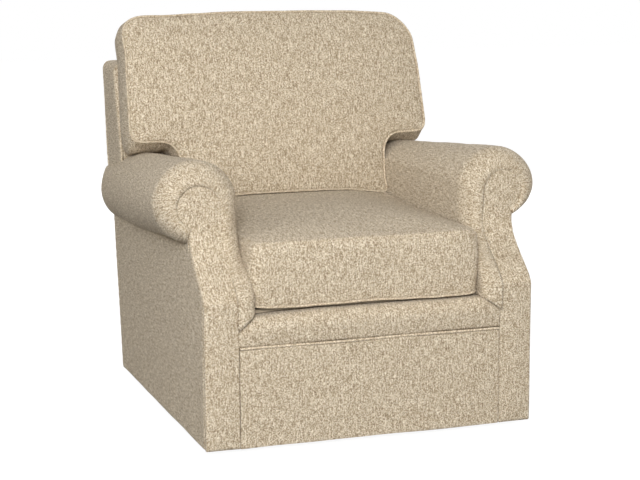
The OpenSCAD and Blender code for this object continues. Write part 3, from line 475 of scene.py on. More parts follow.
# %% [markdown]
# Sewn panels are cut flat, so each side of a panel takes its weave from the plane it lies in. Padding under
# cloth is never quite even, so a slow noise moves it a little.
# %% Panel weave, finish and ripple
def weave_by_side(piece):
    """UVs in metres for a piece of flat panels: each face takes the plane that it lies in."""
    mesh = piece.data
    weave = mesh.uv_layers.new(name="Weave")
    points = points_of(piece)
    count = len(mesh.polygons)
    normals = np.empty(count * 3)
    mesh.polygons.foreach_get("normal", normals)
    side = np.abs(normals.reshape(-1, 3)).argmax(1)
    totals = np.empty(count, int)
    mesh.polygons.foreach_get("loop_total", totals)
    corners = np.empty(len(mesh.loops), int)
    mesh.loops.foreach_get("vertex_index", corners)
    place = points[corners]
    facing = np.repeat(side, totals)
    u = np.where(facing == 0, place[:, 2], place[:, 0])
    v = np.where(facing == 1, place[:, 2], place[:, 1])
    weave.data.foreach_set("uv", np.stack([u, v], 1).ravel())


def dress(piece, slot, *nodes):
    """Smooth shading, finish, record slot and body of a finished piece, and the CAD nodes it stands for."""
    select_only(piece)
    bpy.ops.object.shade_smooth()
    piece.data.materials.append(FINISHES[slot])
    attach(piece, "chair")
    if nodes:
        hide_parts(*nodes)
    print(piece.name, "faces", len(piece.data.polygons))


def ripple(piece, height, size, seed):
    """Moves a cover's points in and out by a slow noise, as padding under cloth does."""
    points, normals = points_of(piece), normals_of(piece)
    shift = np.array([noise.noise(Vector(p) / size + Vector((seed, seed * 0.7, 0))) for p in points]) * height
    set_points(piece, points + normals * shift[:, None])


# %% [markdown]
# Each arm is a padded roll above a flat inside. Stuffing hangs, so a plain cone would look like a pipe. The
# roll is a circle round a sloping axis, made fuller or leaner underneath by a smooth factor.
# %% Arm section
FLAT_FOOT = DECK_Z - 0.0015
CREASE = 0.0070


def fullness(angle, y, side):
    """How the padding hangs: the left roll is fuller below at the back, the right one tucked up in front."""
    low = smooth((math.radians(20) - angle) / math.radians(86))
    run = max(y - ROLL_FACE_Y, 0)
    if side < 0:
        return 1 + low * (0.22 * run / ROLL_LENGTH - 0.10 * math.exp(-((run - 0.10) / 0.22) ** 2))
    return 1 - 0.31 * low * (1 - min(run / 0.5, 1)) * side


def roll_point(angle, y, side):
    axis_x, axis_z, radius = roll_at(y, side)
    radius *= fullness(angle, y, side)
    return axis_x + radius * math.cos(angle), axis_z + radius * math.sin(angle)


def under_angle(y, side):
    """The angle at which the roll comes back to the outside of the arm."""
    low, high = math.radians(-110), math.radians(-20)
    for _ in range(30):
        middle = (low + high) / 2
        if roll_point(middle, y, side)[0] < HALF_W - CREASE:
            low = middle
        else:
            high = middle
    return high


def arm_profile(share, y, side):
    """A point on the cover across the arm: share -1 at the deck, 0 where the roll starts, 1 underneath it."""
    axis_x, axis_z, radius = roll_at(y, side)
    dx = (INSIDE_X - axis_x) / radius
    start = math.pi if dx <= -1 else math.acos(dx)
    if share < 0:
        return INSIDE_X, FLAT_FOOT + (share + 1) * (axis_z + radius * math.sin(start) - FLAT_FOOT)
    return roll_point(start + (under_angle(y, side) - start) * share, y, side)


# %% [markdown]
# In front the cover is sewn to the facing, and at the rear it meets the padded back. A boolean would cut
# across the yarns, so each column of points starts and ends at its own place.
# %% Where the arm cover starts and ends
def facing_edge(share):
    """The seam on the arm front that a column is sewn to; low down it runs out to the side of the post."""
    if share < 0:
        corner = 0.030 * max(0, 1 - (share + 1) / 0.12)
        z = FLAT_FOOT + (share + 1) * (FACING_Z - FLAT_FOOT) - corner
        straight = min(max((z - 0.445) / (FACING_Z - 0.445), 0), 1)
        return POST_X + (ROLL_X - FACING_R - POST_X) * straight, z
    angle = math.radians(180 + (-65.8 - 180) * share)
    return ROLL_X + FACING_R * math.cos(angle), FACING_Z + FACING_R * math.sin(angle)


def rear_end(share, side):
    """Where a column ends: at the padded back, or past it where the roll stands outside the back frame."""
    y = 0.30
    for _ in range(8):
        x, z = arm_profile(share, y, side)
        y = inside_y(z) + 0.008
    while share > 0 and y < back_y(z) - 0.010 and (x > BACK_HALF + 0.0012 or share > 0.6):
        y += 0.002
        x, z = arm_profile(share, y, side)
    return y


# %% [markdown]
# Each arm has one cover. It starts at the seat deck, runs up the inside of the arm and over the roll to the
# underside. In front it rolls forward over a soft edge and is sewn to the flat facing, with small gathers
# where the round edge takes up cloth. A bevelled solid would have no gathers and no run of yarns over the
# roll, so the cover is a grid: its columns run over the arm and its rows from front to back.
# %% Arm covers
ROLL_COLUMNS, FLAT_COLUMNS = 100, 56
EDGE_ROWS, LENGTH_ROWS, CAP_ROWS = 18, 100, 6
EDGE_DEPTH, FLUSH_DEPTH, FLUSH_Z = 0.050, 0.024, 0.430
SEAM_UNDER, EDGE_LEAD, GATHER = 0.004, 0.0115, 0.0010
POST_BACK_Y = -0.325
TUCK = ((0.004, -0.002), (0.008, -0.006), (0.010, -0.014), (0.0105, -0.032))


def arm_grid(side):
    """Rows of points from the facing's seam, over the soft front edge, along the arm and round its end."""
    rng = np.random.default_rng(7 + side)
    columns = FLAT_COLUMNS + ROLL_COLUMNS
    shares = np.concatenate([np.linspace(-1, 0, FLAT_COLUMNS, endpoint=False),
                             np.linspace(0, 1, ROLL_COLUMNS)])
    phase = np.cumsum(rng.uniform(0.7, 1.3, columns)) * 2.2
    size = np.interp(np.arange(columns), np.arange(0, columns, 5), rng.uniform(0.3, 1, (columns + 4) // 5))
    grid = np.zeros((EDGE_ROWS + LENGTH_ROWS + CAP_ROWS, columns + len(TUCK), 3))
    for i, share in enumerate(shares):
        fx, fz = facing_edge(share)
        flush = smooth((FLUSH_Z - fz) / 0.05)
        depth = EDGE_DEPTH + (FLUSH_DEPTH - EDGE_DEPTH) * flush
        top_y = neck_y(fz) + depth
        px, pz = arm_profile(share, top_y, side)
        out = np.array([px - fx, 0, pz - fz])
        under = out / np.linalg.norm(out) * SEAM_UNDER * (1 - flush)
        seam = np.array([fx + 0.003 * flush, neck_y(fz) + 0.0040 - 0.0067 * flush, fz]) - under
        edge = np.array([px, top_y, pz])
        # a curve from the seam, forward and outward over the padding, to the roll
        lead = np.array([0, -EDGE_LEAD * (1 - flush) - 0.0005, 0])
        first = seam + out * (0.50 + 0.24 * flush) + lead
        last = edge - np.array([0, (0.52 + 0.23 * flush) * (top_y - seam[1]), 0])
        gathers = math.sin(math.pi * (share + 0.3) / 1.2) ** 0.5 if -0.3 < share < 0.9 else 0
        for j in range(EDGE_ROWS):
            t = j / EDGE_ROWS
            curve = ((1 - t) ** 3 * seam + 3 * t * (1 - t) ** 2 * first
                     + 3 * t * t * (1 - t) * last + t ** 3 * edge)
            pull = math.exp(-((t - 0.25) / 0.26) ** 2) * gathers * size[i]
            curve[1] += GATHER * pull * math.sin(phase[i])
            grid[j, i] = curve
        stop = rear_end(share, side)
        for j in range(LENGTH_ROWS):
            y = top_y + (stop - top_y) * j / (LENGTH_ROWS - 1)
            x, z = arm_profile(share, y, side)
            grid[EDGE_ROWS + j, i] = (x, y, z)
        # the end turns in behind the roll, or against the padded back
        outer = max(x - BACK_HALF + 0.003, 0)
        for j in range(CAP_ROWS):
            a = math.pi / 2 * (j + 1) / CAP_ROWS
            inner = x - outer * (1 - math.cos(a)) - (0.002 * a if outer == 0 else 0)
            rear = stop + 0.008 * math.sin(a) * (outer > 0)
            grid[EDGE_ROWS + LENGTH_ROWS + j, i] = (inner, rear, z)
    # under the roll the last columns are tucked in behind the outside panel
    behind_post = ramp((grid[:, columns - 1, 1] - POST_BACK_Y) / 0.03)
    for k, (inward, rise) in enumerate(TUCK):
        inward = inward * behind_post
        grid[:, columns + k] = grid[:, columns - 1] + np.stack([-inward, 0 * inward, rise + 0 * inward], 1)
    return grid


for side, word in ((-1, "left"), (1, "right")):
    grid = arm_grid(side)
    if side < 0:
        grid = (grid * np.array([-1.0, 1.0, 1.0]))[:, ::-1]
    cover = cloth_grid("arm_cover_" + word, grid[::-1], reference=CAP_ROWS + LENGTH_ROWS - 10,
                       railroaded=True)
    apply_modifier(cover, "SOLIDIFY", thickness=0.005, offset=-1)
    ripple(cover, 0.0018, 0.12, side * 3.1)
    ripple(cover, 0.0006, 0.03, side * 5.3)
    dress(cover, "tweed", "arm_roll_" + word, "inside_arm_" + word)

# %% [markdown]
# Flat, padded panels start as a copy of their CAD solid, so that they keep its outline. A voxel remesh makes
# an even skin and rounds the edges as batting under cloth does, better than a bevel would, and a few rounds
# of smoothing take out the steps.
# %% Padded panels from CAD solids
def softened(name, nodes, voxel, rounds, ripple_height=0.0, seed=0.0):
    points, faces = [], []
    for node in nodes:
        mesh = NODES[node].data
        start = len(points)
        points += [tuple(v.co) for v in mesh.vertices]
        faces += [tuple(start + i for i in p.vertices) for p in mesh.polygons]
    piece = new_piece(name, points, faces)
    edit_whole(piece, merge_within(0.00005))
    apply_modifier(piece, "REMESH", mode="VOXEL", voxel_size=voxel)
    apply_modifier(piece, "SMOOTH", factor=0.5, iterations=rounds)
    ripple(piece, ripple_height, 0.13, seed)
    return piece


ARM_STATIONS = np.linspace(-0.49, 0.45, 60)


def crease_heights(side):
    return np.array([roll_point(under_angle(y, side), y, side)[1] for y in ARM_STATIONS])


for side, word in ((-1, "left"), (1, "right")):
    panel = softened("outside_arm_cover_" + word, ["outside_arm_" + word], 0.004, 4, 0.0016, side * 2.0)
    points = points_of(panel)
    x, y, z = points.T
    # the top edge follows the roll's crease, is drawn in under it, and hangs a little slack
    tops = crease_heights(0)
    top = np.interp(y, ARM_STATIONS, tops)
    lift = np.interp(y, ARM_STATIONS, crease_heights(side) - tops) * (y > -0.385)
    lift = lift if side > 0 else 0.6 * np.maximum(lift, 0)
    z += lift * ramp((z - top + 0.10) / 0.10)
    top = top + lift
    draw = (0.0055 + 0.0040 * ramp((y - POST_BACK_Y) / 0.03)) * (y > -0.37)
    x -= side * draw * np.exp(-np.maximum(top - z, 0) / 0.009)
    slack = 0.0025 + 0.0045 * bell(y + 0.14, 0.18)
    z -= slack * np.exp(-np.maximum(top - z, 0) / 0.02) * (y > -0.37)
    set_points(panel, points)
    weave_by_side(panel)
    dress(panel, "tweed", "outside_arm_" + word)

# %% [markdown]
# The back frame is padded inside and at its sides, and one flat sheet closes it behind. Both keep their CAD
# outline, as the arm panels do.
# %% Back frame covers
frame_cover = softened("back_frame_cover", ["inside_back", "back_sides"], 0.005, 5, 0.0015, 8.0)
points = points_of(frame_cover)
# the back's wings stand on the arm rolls, so their feet take the rolls' round
wide_foot = min(v.co.z for v in NODES["inside_back"].data.vertices if abs(v.co.x) > INSIDE_X + 0.01)
axis_x, axis_z, radius = roll_at(inside_y(wide_foot), 1)
x, y, z = points.T
beside = np.abs(x)
across = np.clip(beside - axis_x, -radius, radius)
tongue = wide_foot - axis_z - np.sqrt(radius ** 2 - across ** 2) + 0.012
wide = (beside > INSIDE_X + 0.001) & (beside < HALF_W - 0.001)
z -= np.where(wide, tongue * ramp((wide_foot + 0.05 - z) / 0.05), 0)
set_points(frame_cover, points)
weave_by_side(frame_cover)
dress(frame_cover, "tweed", "inside_back", "back_sides")

rear_cover = softened("outside_back_cover", ["outside_back"], 0.0042, 4, 0.0016, 4.0)
weave_by_side(rear_cover)
dress(rear_cover, "tweed", "outside_back")

# %% [markdown]
# The facing is the flat keyhole on each arm front. Its edge is turned under and sewn to the arm cover, which
# leaves a low ridge along the seam and a shallow crown inside it. Both follow the distance to the outline.
# %% Arm facings
def distance_to_line(points, line):
    """Distance of each point to a closed line of points, and the place along it where it is nearest."""
    best = np.full(len(points), 1e9)
    where = np.zeros(len(points))
    done = 0.0
    for a, b in zip(line, np.roll(line, -1, axis=0)):
        d = b - a
        span = float(np.linalg.norm(d))
        t = ramp(((points - a) @ d) / span ** 2)
        gap = np.linalg.norm(points - (a + t[:, None] * d), axis=1)
        closer = gap < best
        best[closer] = gap[closer]
        where[closer] = done + t[closer] * span
        done += span
    return best, where


arc = [(ROLL_X + FACING_R * math.cos(math.radians(a)), FACING_Z + FACING_R * math.sin(math.radians(a)))
       for a in range(180, -66, -6)]
keyhole = np.array([(POST_X, HEM_Z), (POST_X, 0.445)] + arc + [(HALF_W, 0.502), (HALF_W, HEM_Z)])
for side, word in ((-1, "left"), (1, "right")):
    facing = softened("arm_facing_" + word, ["arm_front_" + word], 0.003, 2, 0.0008, side * 6.0)
    points = points_of(facing)
    flat = np.stack([points[:, 0] * side, points[:, 2]], 1)
    inward, _ = distance_to_line(flat, keyhole)
    ridge = 0.0011 * bell(inward - 0.0050, 0.0024)
    crown = 0.0026 * (1 - bell(inward, 0.018)) + ridge
    crown -= 0.0012 * bell(inward, 0.0025)
    flush = ramp((FLUSH_Z - flat[:, 1]) / 0.05) * bell(flat[:, 0] - POST_X, 0.012)
    crown = crown * (1 - flush) + 0.0004 * flush
    faces_front = normals_of(facing)[:, 1] < -0.2
    points[:, 1] -= crown * faces_front
    set_points(facing, points)
    weave_by_side(facing)
    dress(facing, "tweed", "arm_front_" + word)

# %% [markdown]
# The border under the seat cushion is a soft roll of padding between the two posts. It is drawn tight at its
# ends, where a slanting fold tucks it behind the post, and it is sewn to the apron along a welt. It is a
# swept section, because its height and fullness change along the chair.
# %% Front border
BORDER_X, BORDER_STATIONS = POST_X + 0.0010, 130
BORDER_TOP, BORDER_LOW, BORDER_BULGE, BORDER_ROUND = DECK_Z - 0.002, WELT_Z + 0.003, 0.005, 0.030
BORDER_REAR = 0.0518


def border_ring(x):
    draw = 1 - math.exp(-((BORDER_X - abs(x)) / 0.022) ** 2)
    bulge = BORDER_BULGE * (0.12 + 0.88 * draw) + 0.0009 * noise.noise(Vector((x * 14, 3.0, 0)))
    top = BORDER_TOP - 0.0075 * (1 - draw) - 0.0055 * math.exp(-((BORDER_X + x) / 0.09) ** 2)
    middle = top - BORDER_ROUND
    ring = [(FRONT_Y + 0.040, BORDER_LOW), (FRONT_Y + 0.006, BORDER_LOW),
            (FRONT_Y + 0.001, BORDER_LOW + 0.001)]
    for k in range(1, 9):
        t = k / 8
        ring.append((FRONT_Y - bulge * math.sin(math.pi / 2 * t), BORDER_LOW + (middle - BORDER_LOW) * t))
    for k in range(1, 13):
        a = math.pi / 2 * k / 12
        ring.append((FRONT_Y - bulge + BORDER_ROUND * (1 - math.cos(a)), middle + BORDER_ROUND * math.sin(a)))
    ring += [(FRONT_Y + 0.038, top), (FRONT_Y + 0.0505, top - 0.0008), (FRONT_Y + BORDER_REAR, top - 0.003),
             (FRONT_Y + BORDER_REAR, 0.306), (FRONT_Y + 0.040, 0.304)]
    return [(x, y, z) for y, z in ring]


stations = np.linspace(-BORDER_X, BORDER_X, BORDER_STATIONS)
rings = [border_ring(x) for x in stations]
border = cloth_grid("front_border_cover", rings, around=True)
edit_whole(border, FILL_ENDS, OUTWARD)
ripple(border, 0.0012, 0.07, 2.5)
dress(border, "tweed", "front_nosing")

# %% [markdown]
# The apron is a nearly flat, lined panel between the posts. It is made like the other panels, and its turned
# hem is a fine groove.
# %% Apron
apron = softened("apron_cover", ["front_apron"], 0.0035, 4, 0.0022, 12.0)
points = points_of(apron)
hem = bell(points[:, 2] - 0.046, 0.0016) * 0.0009
points[:, 1] += hem * (normals_of(apron)[:, 1] < -0.3)
set_points(apron, points)
weave_by_side(apron)
dress(apron, "tweed", "front_apron")

# %% [markdown]
# The loose cushions are foam wrapped in fibre. Each starts as its crowned CAD form, a little smaller, and is
# blown up by cloth simulation, which draws the soft hollows beside the seams. A limit on how far a point may
# move keeps it in its place between the arms.
# %% Cushions
CUSHION_VOXEL, SHRINK, FRAMES, PUCKER = 0.0071, 0.003, 20, 0.5
INFLATED = {"use_pressure": True, "uniform_pressure_force": 4.0, "quality": 4, "tension_stiffness": 10,
            "compression_stiffness": 8, "bending_stiffness": 0.5, "vertex_group_mass": "held"}


def puffed(name, node, plump, seams, under, keep_clear, cap):
    """A cushion: remeshed from its CAD solid, then inflated as cloth that its seams and underside hold."""
    piece = softened(name, [node], CUSHION_VOXEL, 2)
    start = plump(points_of(piece))
    set_points(piece, start)
    normals = normals_of(piece)
    gap = np.min([distance_to_line(start, seam)[0] for seam in seams], 0)
    bound = np.maximum(bell(gap, 0.010), under(start, normals))
    slim = start - normals * SHRINK * (1 - bound)[:, None]
    set_points(piece, slim)
    group = piece.vertex_groups.new(name="held")
    for index in np.nonzero(bound > 0.55)[0]:
        group.add([int(index)], 1.0, "REPLACE")
    select_only(piece)
    cloth = piece.modifiers.new("inflate", "CLOTH")
    for key, value in INFLATED.items():
        setattr(cloth.settings, key, value)
    cloth.settings.effector_weights.gravity = 0
    cloth.collision_settings.use_self_collision = False
    for number in range(1, FRAMES + 1):
        bpy.context.scene.frame_set(number)
    swollen = points_of(piece.evaluated_get(bpy.context.evaluated_depsgraph_get()))
    piece.modifiers.remove(cloth)
    bpy.context.scene.frame_set(1)
    move = swollen - slim
    length = np.linalg.norm(move, axis=1)
    move *= (np.tanh(length / cap) * cap / np.maximum(length, 1e-9))[:, None]
    print(name, "vertices", len(move), "moved up to", round(float(length.max()) * 1000, 1), "mm")
    set_points(piece, keep_clear(slim + move))
    return piece


# %% [markdown]
# A seam draws a cushion in along its line, with small puckers beside the stitches. It could be sculpted by
# hand. A formula that moves the points near the line gives the same seam in every run.
# %% Seams on a cushion
def pinch(piece, line, depth, reach, seed):
    """Draws the cushion in along a seam, with small puckers beside the stitches."""
    points, normals = points_of(piece), normals_of(piece)
    gap, where = distance_to_line(points, line)
    near = bell(gap, reach)
    wave = np.array([noise.noise(Vector((s / 0.018, seed, 0))) for s in where])
    fold = bell(gap, reach * 2.6) * wave * PUCKER * depth
    set_points(piece, points - normals * (near * depth - fold)[:, None])


def on_surface(piece, line, offset):
    """Moves a seam line onto a cushion's surface, and then out by an offset."""
    tree = BVHTree.FromObject(piece, bpy.context.evaluated_depsgraph_get())
    found = []
    for p in line:
        place, normal, _, _ = tree.find_nearest(Vector(p))
        found.append(place + normal * offset)
    found = np.array(found)
    for _ in range(4):
        found = found * 0.5 + (np.roll(found, 1, 0) + np.roll(found, -1, 0)) * 0.25
    return found


def arc_points(cx, cy, r, start, end, steps):
    angles = np.radians(np.linspace(start, end, steps + 1))
    return np.stack([cx + r * np.cos(angles), cy + r * np.sin(angles)], 1)


def even(line, step=0.006):
    """The same closed line with its points an even step apart."""
    line = np.vstack([line, line[:1]])
    lengths = np.concatenate([[0], np.cumsum(np.linalg.norm(np.diff(line, axis=0), axis=1))])
    count = int(round(lengths[-1] / step))
    places = np.linspace(0, lengths[-1], count, endpoint=False)
    return np.stack([np.interp(places, lengths, line[:, k]) for k in range(line.shape[1])], 1)


# %% [markdown]
# A welt is a thin cord in a strip of cloth cut on the bias. It is sewn into the seam and stands just outside
# it, so it is a tube of its own that follows the seam line. A bevelled curve would do for the shape, but its
# yarns wouldn't run on the bias.
# %% Welt cords
WELT_RADIUS, WELT_OUT = 0.0030, 0.0024


def cord_tube(name, line, radius, sides=10, closed=True):
    """A round cord along a line of points, with its weave on the bias."""
    count = len(line)
    along = np.roll(line, -1, 0) - np.roll(line, 1, 0) if closed else np.gradient(line, axis=0)
    along /= np.linalg.norm(along, axis=1)[:, None]
    first = np.cross(along[0], (0, 0, 1.0) if abs(along[0][2]) < 0.9 else (1.0, 0, 0))
    sidewards = [first / np.linalg.norm(first)]
    for k in range(1, count):
        move = sidewards[-1] - along[k] * (sidewards[-1] @ along[k])
        sidewards.append(move / np.linalg.norm(move))
    sidewards = np.array(sidewards)
    other = np.cross(along, sidewards)
    angles = np.linspace(0, 2 * np.pi, sides, endpoint=False)
    rings = line[:, None] + radius * (np.cos(angles)[None, :, None] * sidewards[:, None]
                                      + np.sin(angles)[None, :, None] * other[:, None])
    if closed:
        turned = math.atan2(sidewards[-1] @ other[0], sidewards[-1] @ sidewards[0])
        twist = int(round(turned / (2 * math.pi / sides)))
        rings = np.concatenate([rings, np.roll(rings[:1], -twist, axis=1)])
    piece = cloth_grid(name, rings, around=True)
    edit_whole(piece, merge_within(0.0002) if closed else FILL_ENDS, OUTWARD)
    weave = piece.data.uv_layers["Weave"]
    values = np.empty(len(weave.data) * 2)
    weave.data.foreach_get("uv", values)
    values = values.reshape(-1, 2)
    bias = np.stack([values[:, 0] + values[:, 1], values[:, 1] - values[:, 0]], 1) * math.sqrt(0.5)
    weave.data.foreach_set("uv", bias.ravel())
    return piece


# %% [markdown]
# The seat cushion is a boxed cushion that fills the space between the arms. Its lower seam has a welt, and
# its upper seam is plain. Its upright corners are drawn out a little more than in the CAD form, as in the
# photograph, and its top is raised to meet the back cushion.
# %% Seat cushion
WELT_STAND = 0.0063
SEAT_HW = INSIDE_X - WELT_STAND - 2 * SEAM
SEAT_Y0 = FRONT_Y + 0.030 + WELT_STAND / 2
SEAT_Y1 = inside_y(DECK_Z) - WELT_STAND
SEAT_CORNER = 0.042
ARCH_LOW, ARCH_RISE, ARCH_HW, ARCH_SLOPE = 0.0040, 0.0149, 0.265, 0.287


def seat_line(z):
    w, y0, y1, r = SEAT_HW, SEAT_Y0, SEAT_Y1, SEAT_CORNER
    middles = ((w - r, y0 + r), (w - r, y1 - r), (r - w, y1 - r), (r - w, y0 + r))
    flat = np.vstack([arc_points(x, y, r, 90 * k - 90, 90 * k, 8) for k, (x, y) in enumerate(middles)])
    return even(np.column_stack([flat, np.full(len(flat), z)]))


def seat_plump(points):
    """Draws the front corners out, moves the front forward and the sides outwards, and lifts the corners."""
    points = points.copy()
    x, y, z = points.T
    low = ramp((SEAT_SEAM_Z - z) / (SEAT_SEAM_Z - SEAT_LOW_Z))
    corner = 0.0075 * bell(x + INSIDE_X, 0.12) + 0.002 * bell(x - INSIDE_X, 0.1)
    z += low * corner * ramp((-0.30 - y) / 0.13)
    beside = np.abs(x)
    dx, dy = beside - (SEAT_HW - SEAT_CORNER), (SEAT_Y0 + SEAT_CORNER) - y
    inside = (dx > 0) & (dy > 0)
    reach = np.hypot(dx, dy) + 1e-9
    turn = np.arctan2(np.where(inside, dy, 0), np.where(inside, dx, 1))
    push = 0.0050 * np.sin(2 * turn) ** 2 * np.minimum(reach / SEAT_CORNER, 1.1) ** 2 * inside
    x += np.sign(x) * (push * dx / reach + 0.0045 * ramp((beside - 0.15) / 0.12))
    y -= push * dy / reach + 0.010 * ramp((-0.30 - y) / 0.15)
    return points


def seat_under(points, normals):
    return ((points[:, 2] < DECK_Z + 0.004) & (normals[:, 2] < -0.3)).astype(float)


def seat_reach(x):
    """Height of the back cushion's arched foot, where the seat cushion meets it."""
    return SEAT_SEAM_Z + ARCH_LOW + ARCH_RISE * (1 - np.minimum(np.abs(x) / ARCH_HW, 1) ** 3.4)


def seat_clear(points):
    """Keeps the cushion on the deck, between the arms, under the back cushion and off the padded back."""
    x, y, z = points.T
    z = np.maximum(z, DECK_Z + SEAM)
    x = np.clip(x, -INSIDE_X + 0.0004, INSIDE_X - 0.0004)
    contact = seat_reach(x) - (y - CUSHION_FOOT_Y) * ARCH_SLOPE
    z = np.where(y > CUSHION_FOOT_Y - 0.006, np.minimum(z, contact), z)
    return np.stack([x, np.minimum(y, inside_y(z) - 0.001), z], 1)


seat_low = seat_plump(seat_line(SEAT_LOW_Z))
seat_top = seat_line(SEAT_SEAM_Z)
seat_top[:, 2] -= np.maximum(seat_top[:, 1] - CUSHION_FOOT_Y + 0.012, 0) * math.tan(CUSHION_RAKE)
seat_top = seat_plump(seat_top)
seat = puffed("seat_cushion_cover", "seat_cushion", seat_plump, [seat_low, seat_top], seat_under, seat_clear,
              cap=0.010)
apply_modifier(seat, "SUBSURF", levels=1, render_levels=1)
pinch(seat, on_surface(seat, seat_top, 0), depth=0.0052, reach=0.0050, seed=3.0)
pinch(seat, on_surface(seat, seat_low, 0), depth=0.0016, reach=0.0060, seed=5.0)
ripple(seat, 0.0028, 0.14, 21.0)
tree = BVHTree.FromObject(seat, bpy.context.evaluated_depsgraph_get())
stations = np.linspace(-0.27, 0.27, 28)
crown = [tree.ray_cast(Vector((x, CUSHION_FOOT_Y - 0.004, 0.7)), Vector((0, 0, -1)))[0].z for x in stations]
wanted = np.maximum(seat_reach(stations) + 0.001 - np.array(crown), 0)
print("seat raised under the back cushion by up to", round(float(wanted.max()) * 1000, 1), "mm")
points = points_of(seat)
x, y, z = points.T
rise = ramp((y - CUSHION_FOOT_Y + 0.15) / 0.14) ** 1.6
z += np.interp(x, stations, wanted) * rise * ramp((z - SEAT_SEAM_Z + 0.03) / 0.02)
set_points(seat, seat_clear(points))
weave_by_side(seat)
dress(seat, "tweed", "seat_cushion")
seat_welt = cord_tube("seat_cushion_welt", on_surface(seat, seat_low, WELT_OUT), WELT_RADIUS)
dress(seat_welt, "welt_cord")

# %% [markdown]
# The back cushion is T-shaped: its stem goes down between the arms and its two ears lie on the rolls. It
# leans on the padded back. Its seams are drawn flat, with x across, v up its slope and w out of its front,
# and then leaned.
# %% Back cushion
STEM_HW = INSIDE_X - 0.007 - WELT_STAND
EAR_HW = HALF_W + 0.010 - WELT_STAND
BACK_H, EAR_START, NOTCH_R, EAR_R, TOP_R, TOP_TAPER = 0.490, 0.162, 0.056, 0.025, 0.072, 0.010
FOOT_CORNER, FOOT_DROP, BACK_SEAM_W, REAR_W = 0.030, 0.006, -0.112, -0.1178
TOP_CORNERS = ((-0.375, 0.468, 0.010, 0.008), (0.385, 0.478, 0.006, -0.004))


def lean(x, v, w):
    """From a flat drawing to the leaning back cushion: v runs up the slope and w out of its front face."""
    s, c = math.sin(CUSHION_RAKE), math.cos(CUSHION_RAKE)
    return np.stack([x, CUSHION_FOOT_Y + v * s - w * c, SEAT_SEAM_Z + CUSHION_LIFT + v * c + w * s], -1)


def flatten(points):
    """The other way: (x, v, w) of points in the chair's frame."""
    s, c = math.sin(CUSHION_RAKE), math.cos(CUSHION_RAKE)
    y, z = points[:, 1] - CUSHION_FOOT_Y, points[:, 2] - SEAT_SEAM_Z - CUSHION_LIFT
    return np.stack([points[:, 0], y * s + z * c, z * s - y * c], 1)


def back_line(w):
    half = np.vstack([np.array([[STEM_HW, 0.0], [STEM_HW, EAR_START / 3]]),
                      arc_points(STEM_HW + NOTCH_R, EAR_START - NOTCH_R, NOTCH_R, 180, 90, 10),
                      arc_points(EAR_HW - EAR_R, EAR_START + EAR_R, EAR_R, -90, 0, 8),
                      arc_points(EAR_HW - TOP_TAPER - TOP_R, BACK_H - TOP_R, TOP_R, 5, 90, 12)])
    t = np.linspace(0, 1, 18)[1:-1]
    top = np.stack([(EAR_HW - TOP_TAPER - TOP_R) * (1 - 2 * t), BACK_H + 0.010 * np.sin(np.pi * t)], 1)
    x = np.linspace(-STEM_HW, STEM_HW, 22)[1:-1]
    foot = np.stack([x, 0.020 * (1 - (np.abs(x) / STEM_HW) ** 4)], 1)
    flat = np.vstack([half, top, half[::-1] * np.array([-1, 1]), foot])
    return even(lean(flat[:, 0], flat[:, 1], np.full(len(flat), w)))


def back_plump(points):
    """Fills the cushion out: a wider stem, fuller ears underneath, a squarer top corner on the sitter's right
    and round corners at its foot."""
    local = flatten(points)
    x, v, w = local.T.copy()
    new_x, new_v, new_w = local.T
    side = np.sign(x)
    stem = bell(np.abs(x) - 0.275, 0.035) * ramp((0.21 - v) / 0.08)
    new_x += side * 0.008 * stem
    new_x -= 0.007 * (ramp((-x - 0.24) / 0.14) * ramp(v / 0.45))
    for corner_x, corner_v, left, up in TOP_CORNERS:
        near = np.exp(-(((x - corner_x) / 0.05) ** 2 + ((v - corner_v) / 0.05) ** 2))
        new_x -= left * near
        new_v += up * near
    below = bell(v - EAR_START, 0.016) * ramp((np.abs(x) - 0.29) / 0.03) * ramp(-w / 0.05)
    new_v -= 0.014 * below * (1 + 0.5 * ramp((np.abs(x) - 0.355) / 0.045))
    new_w -= 0.017 * ramp((v - 0.39) / 0.10) ** 2 * ramp((w + 0.118) / 0.1)
    new_v += 0.003 * ramp((v - 0.44) / 0.05)
    new_v -= FOOT_DROP * ramp((0.05 - v) / 0.05) * (1 - (np.abs(x) / 0.30) ** 4)
    dx = np.abs(new_x) - (INSIDE_X - FOOT_CORNER)
    dv = FOOT_CORNER - FOOT_DROP - new_v
    over = np.maximum(np.hypot(dx, dv) / FOOT_CORNER, 1)
    corner = (dx > 0) & (dv > 0)
    new_x = np.where(corner, side * (INSIDE_X - FOOT_CORNER + dx / over), new_x)
    new_v = np.where(corner, FOOT_CORNER - FOOT_DROP - dv / over, new_v)
    return lean(new_x, new_v, new_w)


def back_under(points, normals):
    return ((flatten(points)[:, 2] < -0.114) & (normals[:, 1] > 0.3)).astype(float)


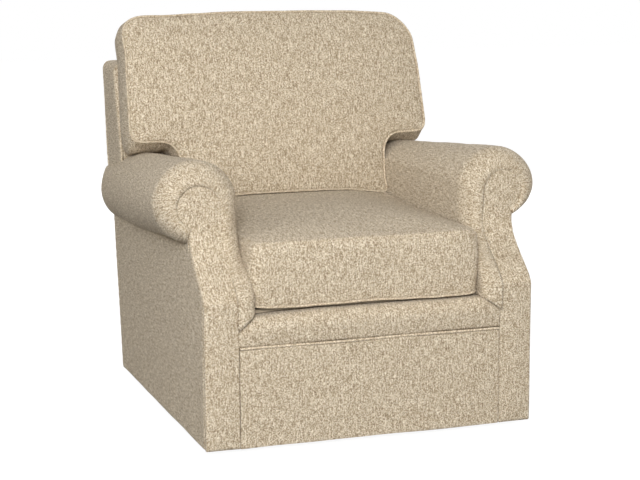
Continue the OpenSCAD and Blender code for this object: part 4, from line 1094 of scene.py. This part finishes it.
def back_clear(points):
    """Keeps the cushion off the padded back, the arm rolls and the inside of the arms."""
    x, v, w = flatten(points).T
    points = lean(x, v, np.maximum(w, REAR_W))
    x, y, z = points.T
    axis_x, axis_z, radius = roll_at(y)
    side = np.sign(x)
    dx, dz = np.abs(x) - axis_x, z - axis_z
    away = np.hypot(dx, dz) + 1e-9
    out = np.maximum(radius - 0.001 - away, 0) * (dz > -0.02)
    x += side * out * dx / away
    z += out * dz / away
    x[:] = np.where(z < 0.56, np.clip(x, -INSIDE_X + 0.0006, INSIDE_X - 0.0006), x)
    return points


back_front, back_rear = back_plump(back_line(0)), back_plump(back_line(BACK_SEAM_W))
back = puffed("back_cushion_cover", "back_cushion", back_plump, [back_front, back_rear], back_under,
              back_clear, cap=0.012)
apply_modifier(back, "SUBSURF", levels=1, render_levels=1)
pinch(back, on_surface(back, back_front, 0), depth=0.0022, reach=0.0050, seed=8.0)
pinch(back, on_surface(back, back_rear, 0), depth=0.0020, reach=0.0055, seed=9.0)
ripple(back, 0.0028, 0.15, 31.0)
set_points(back, back_clear(points_of(back)))
weave_by_side(back)
dress(back, "tweed", "back_cushion")
back_welt = cord_tube("back_cushion_welt", on_surface(back, back_front, WELT_OUT), WELT_RADIUS)
dress(back_welt, "welt_cord", "cushion_welts")

# %% [markdown]
# The apron's welt runs from post to post, just under the border. A straight line would look drawn, so it
# wavers by a fraction of a millimetre.
# %% Apron welt
x = np.linspace(-POST_X + 0.0012, POST_X - 0.0012, 160)
welt_line = np.stack([x, FRONT_Y + 0.0008 + 0.0004 * np.sin(x * 31), WELT_Z + 0.0006 * np.sin(x * 17)], 1)
apron_welt = cord_tube("apron_welt_cover", welt_line, 0.0031, closed=False)
dress(apron_welt, "welt_cord", "apron_welt")

# %% [markdown]
# Under the chair a thin black cloth is stapled to the rails. It sags a little between them, and a sine both
# ways is enough for that.
# %% Dust cover
low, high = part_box("dust_cover")
xs = np.linspace(low.x, high.x, 60)
ys = np.linspace(low.y, high.y, 60)
sheet_rows = [[(x, y, high.z - 0.0006 - 0.006 * math.sin(math.pi * (x - low.x) / (high.x - low.x)) ** 0.7
                * math.sin(math.pi * (y - low.y) / (high.y - low.y)) ** 0.7) for x in xs] for y in ys]
dust = cloth_grid("dust_cover_cloth", sheet_rows)
apply_modifier(dust, "SOLIDIFY", thickness=0.0006, offset=0)
dress(dust, "cambric", "dust_cover")
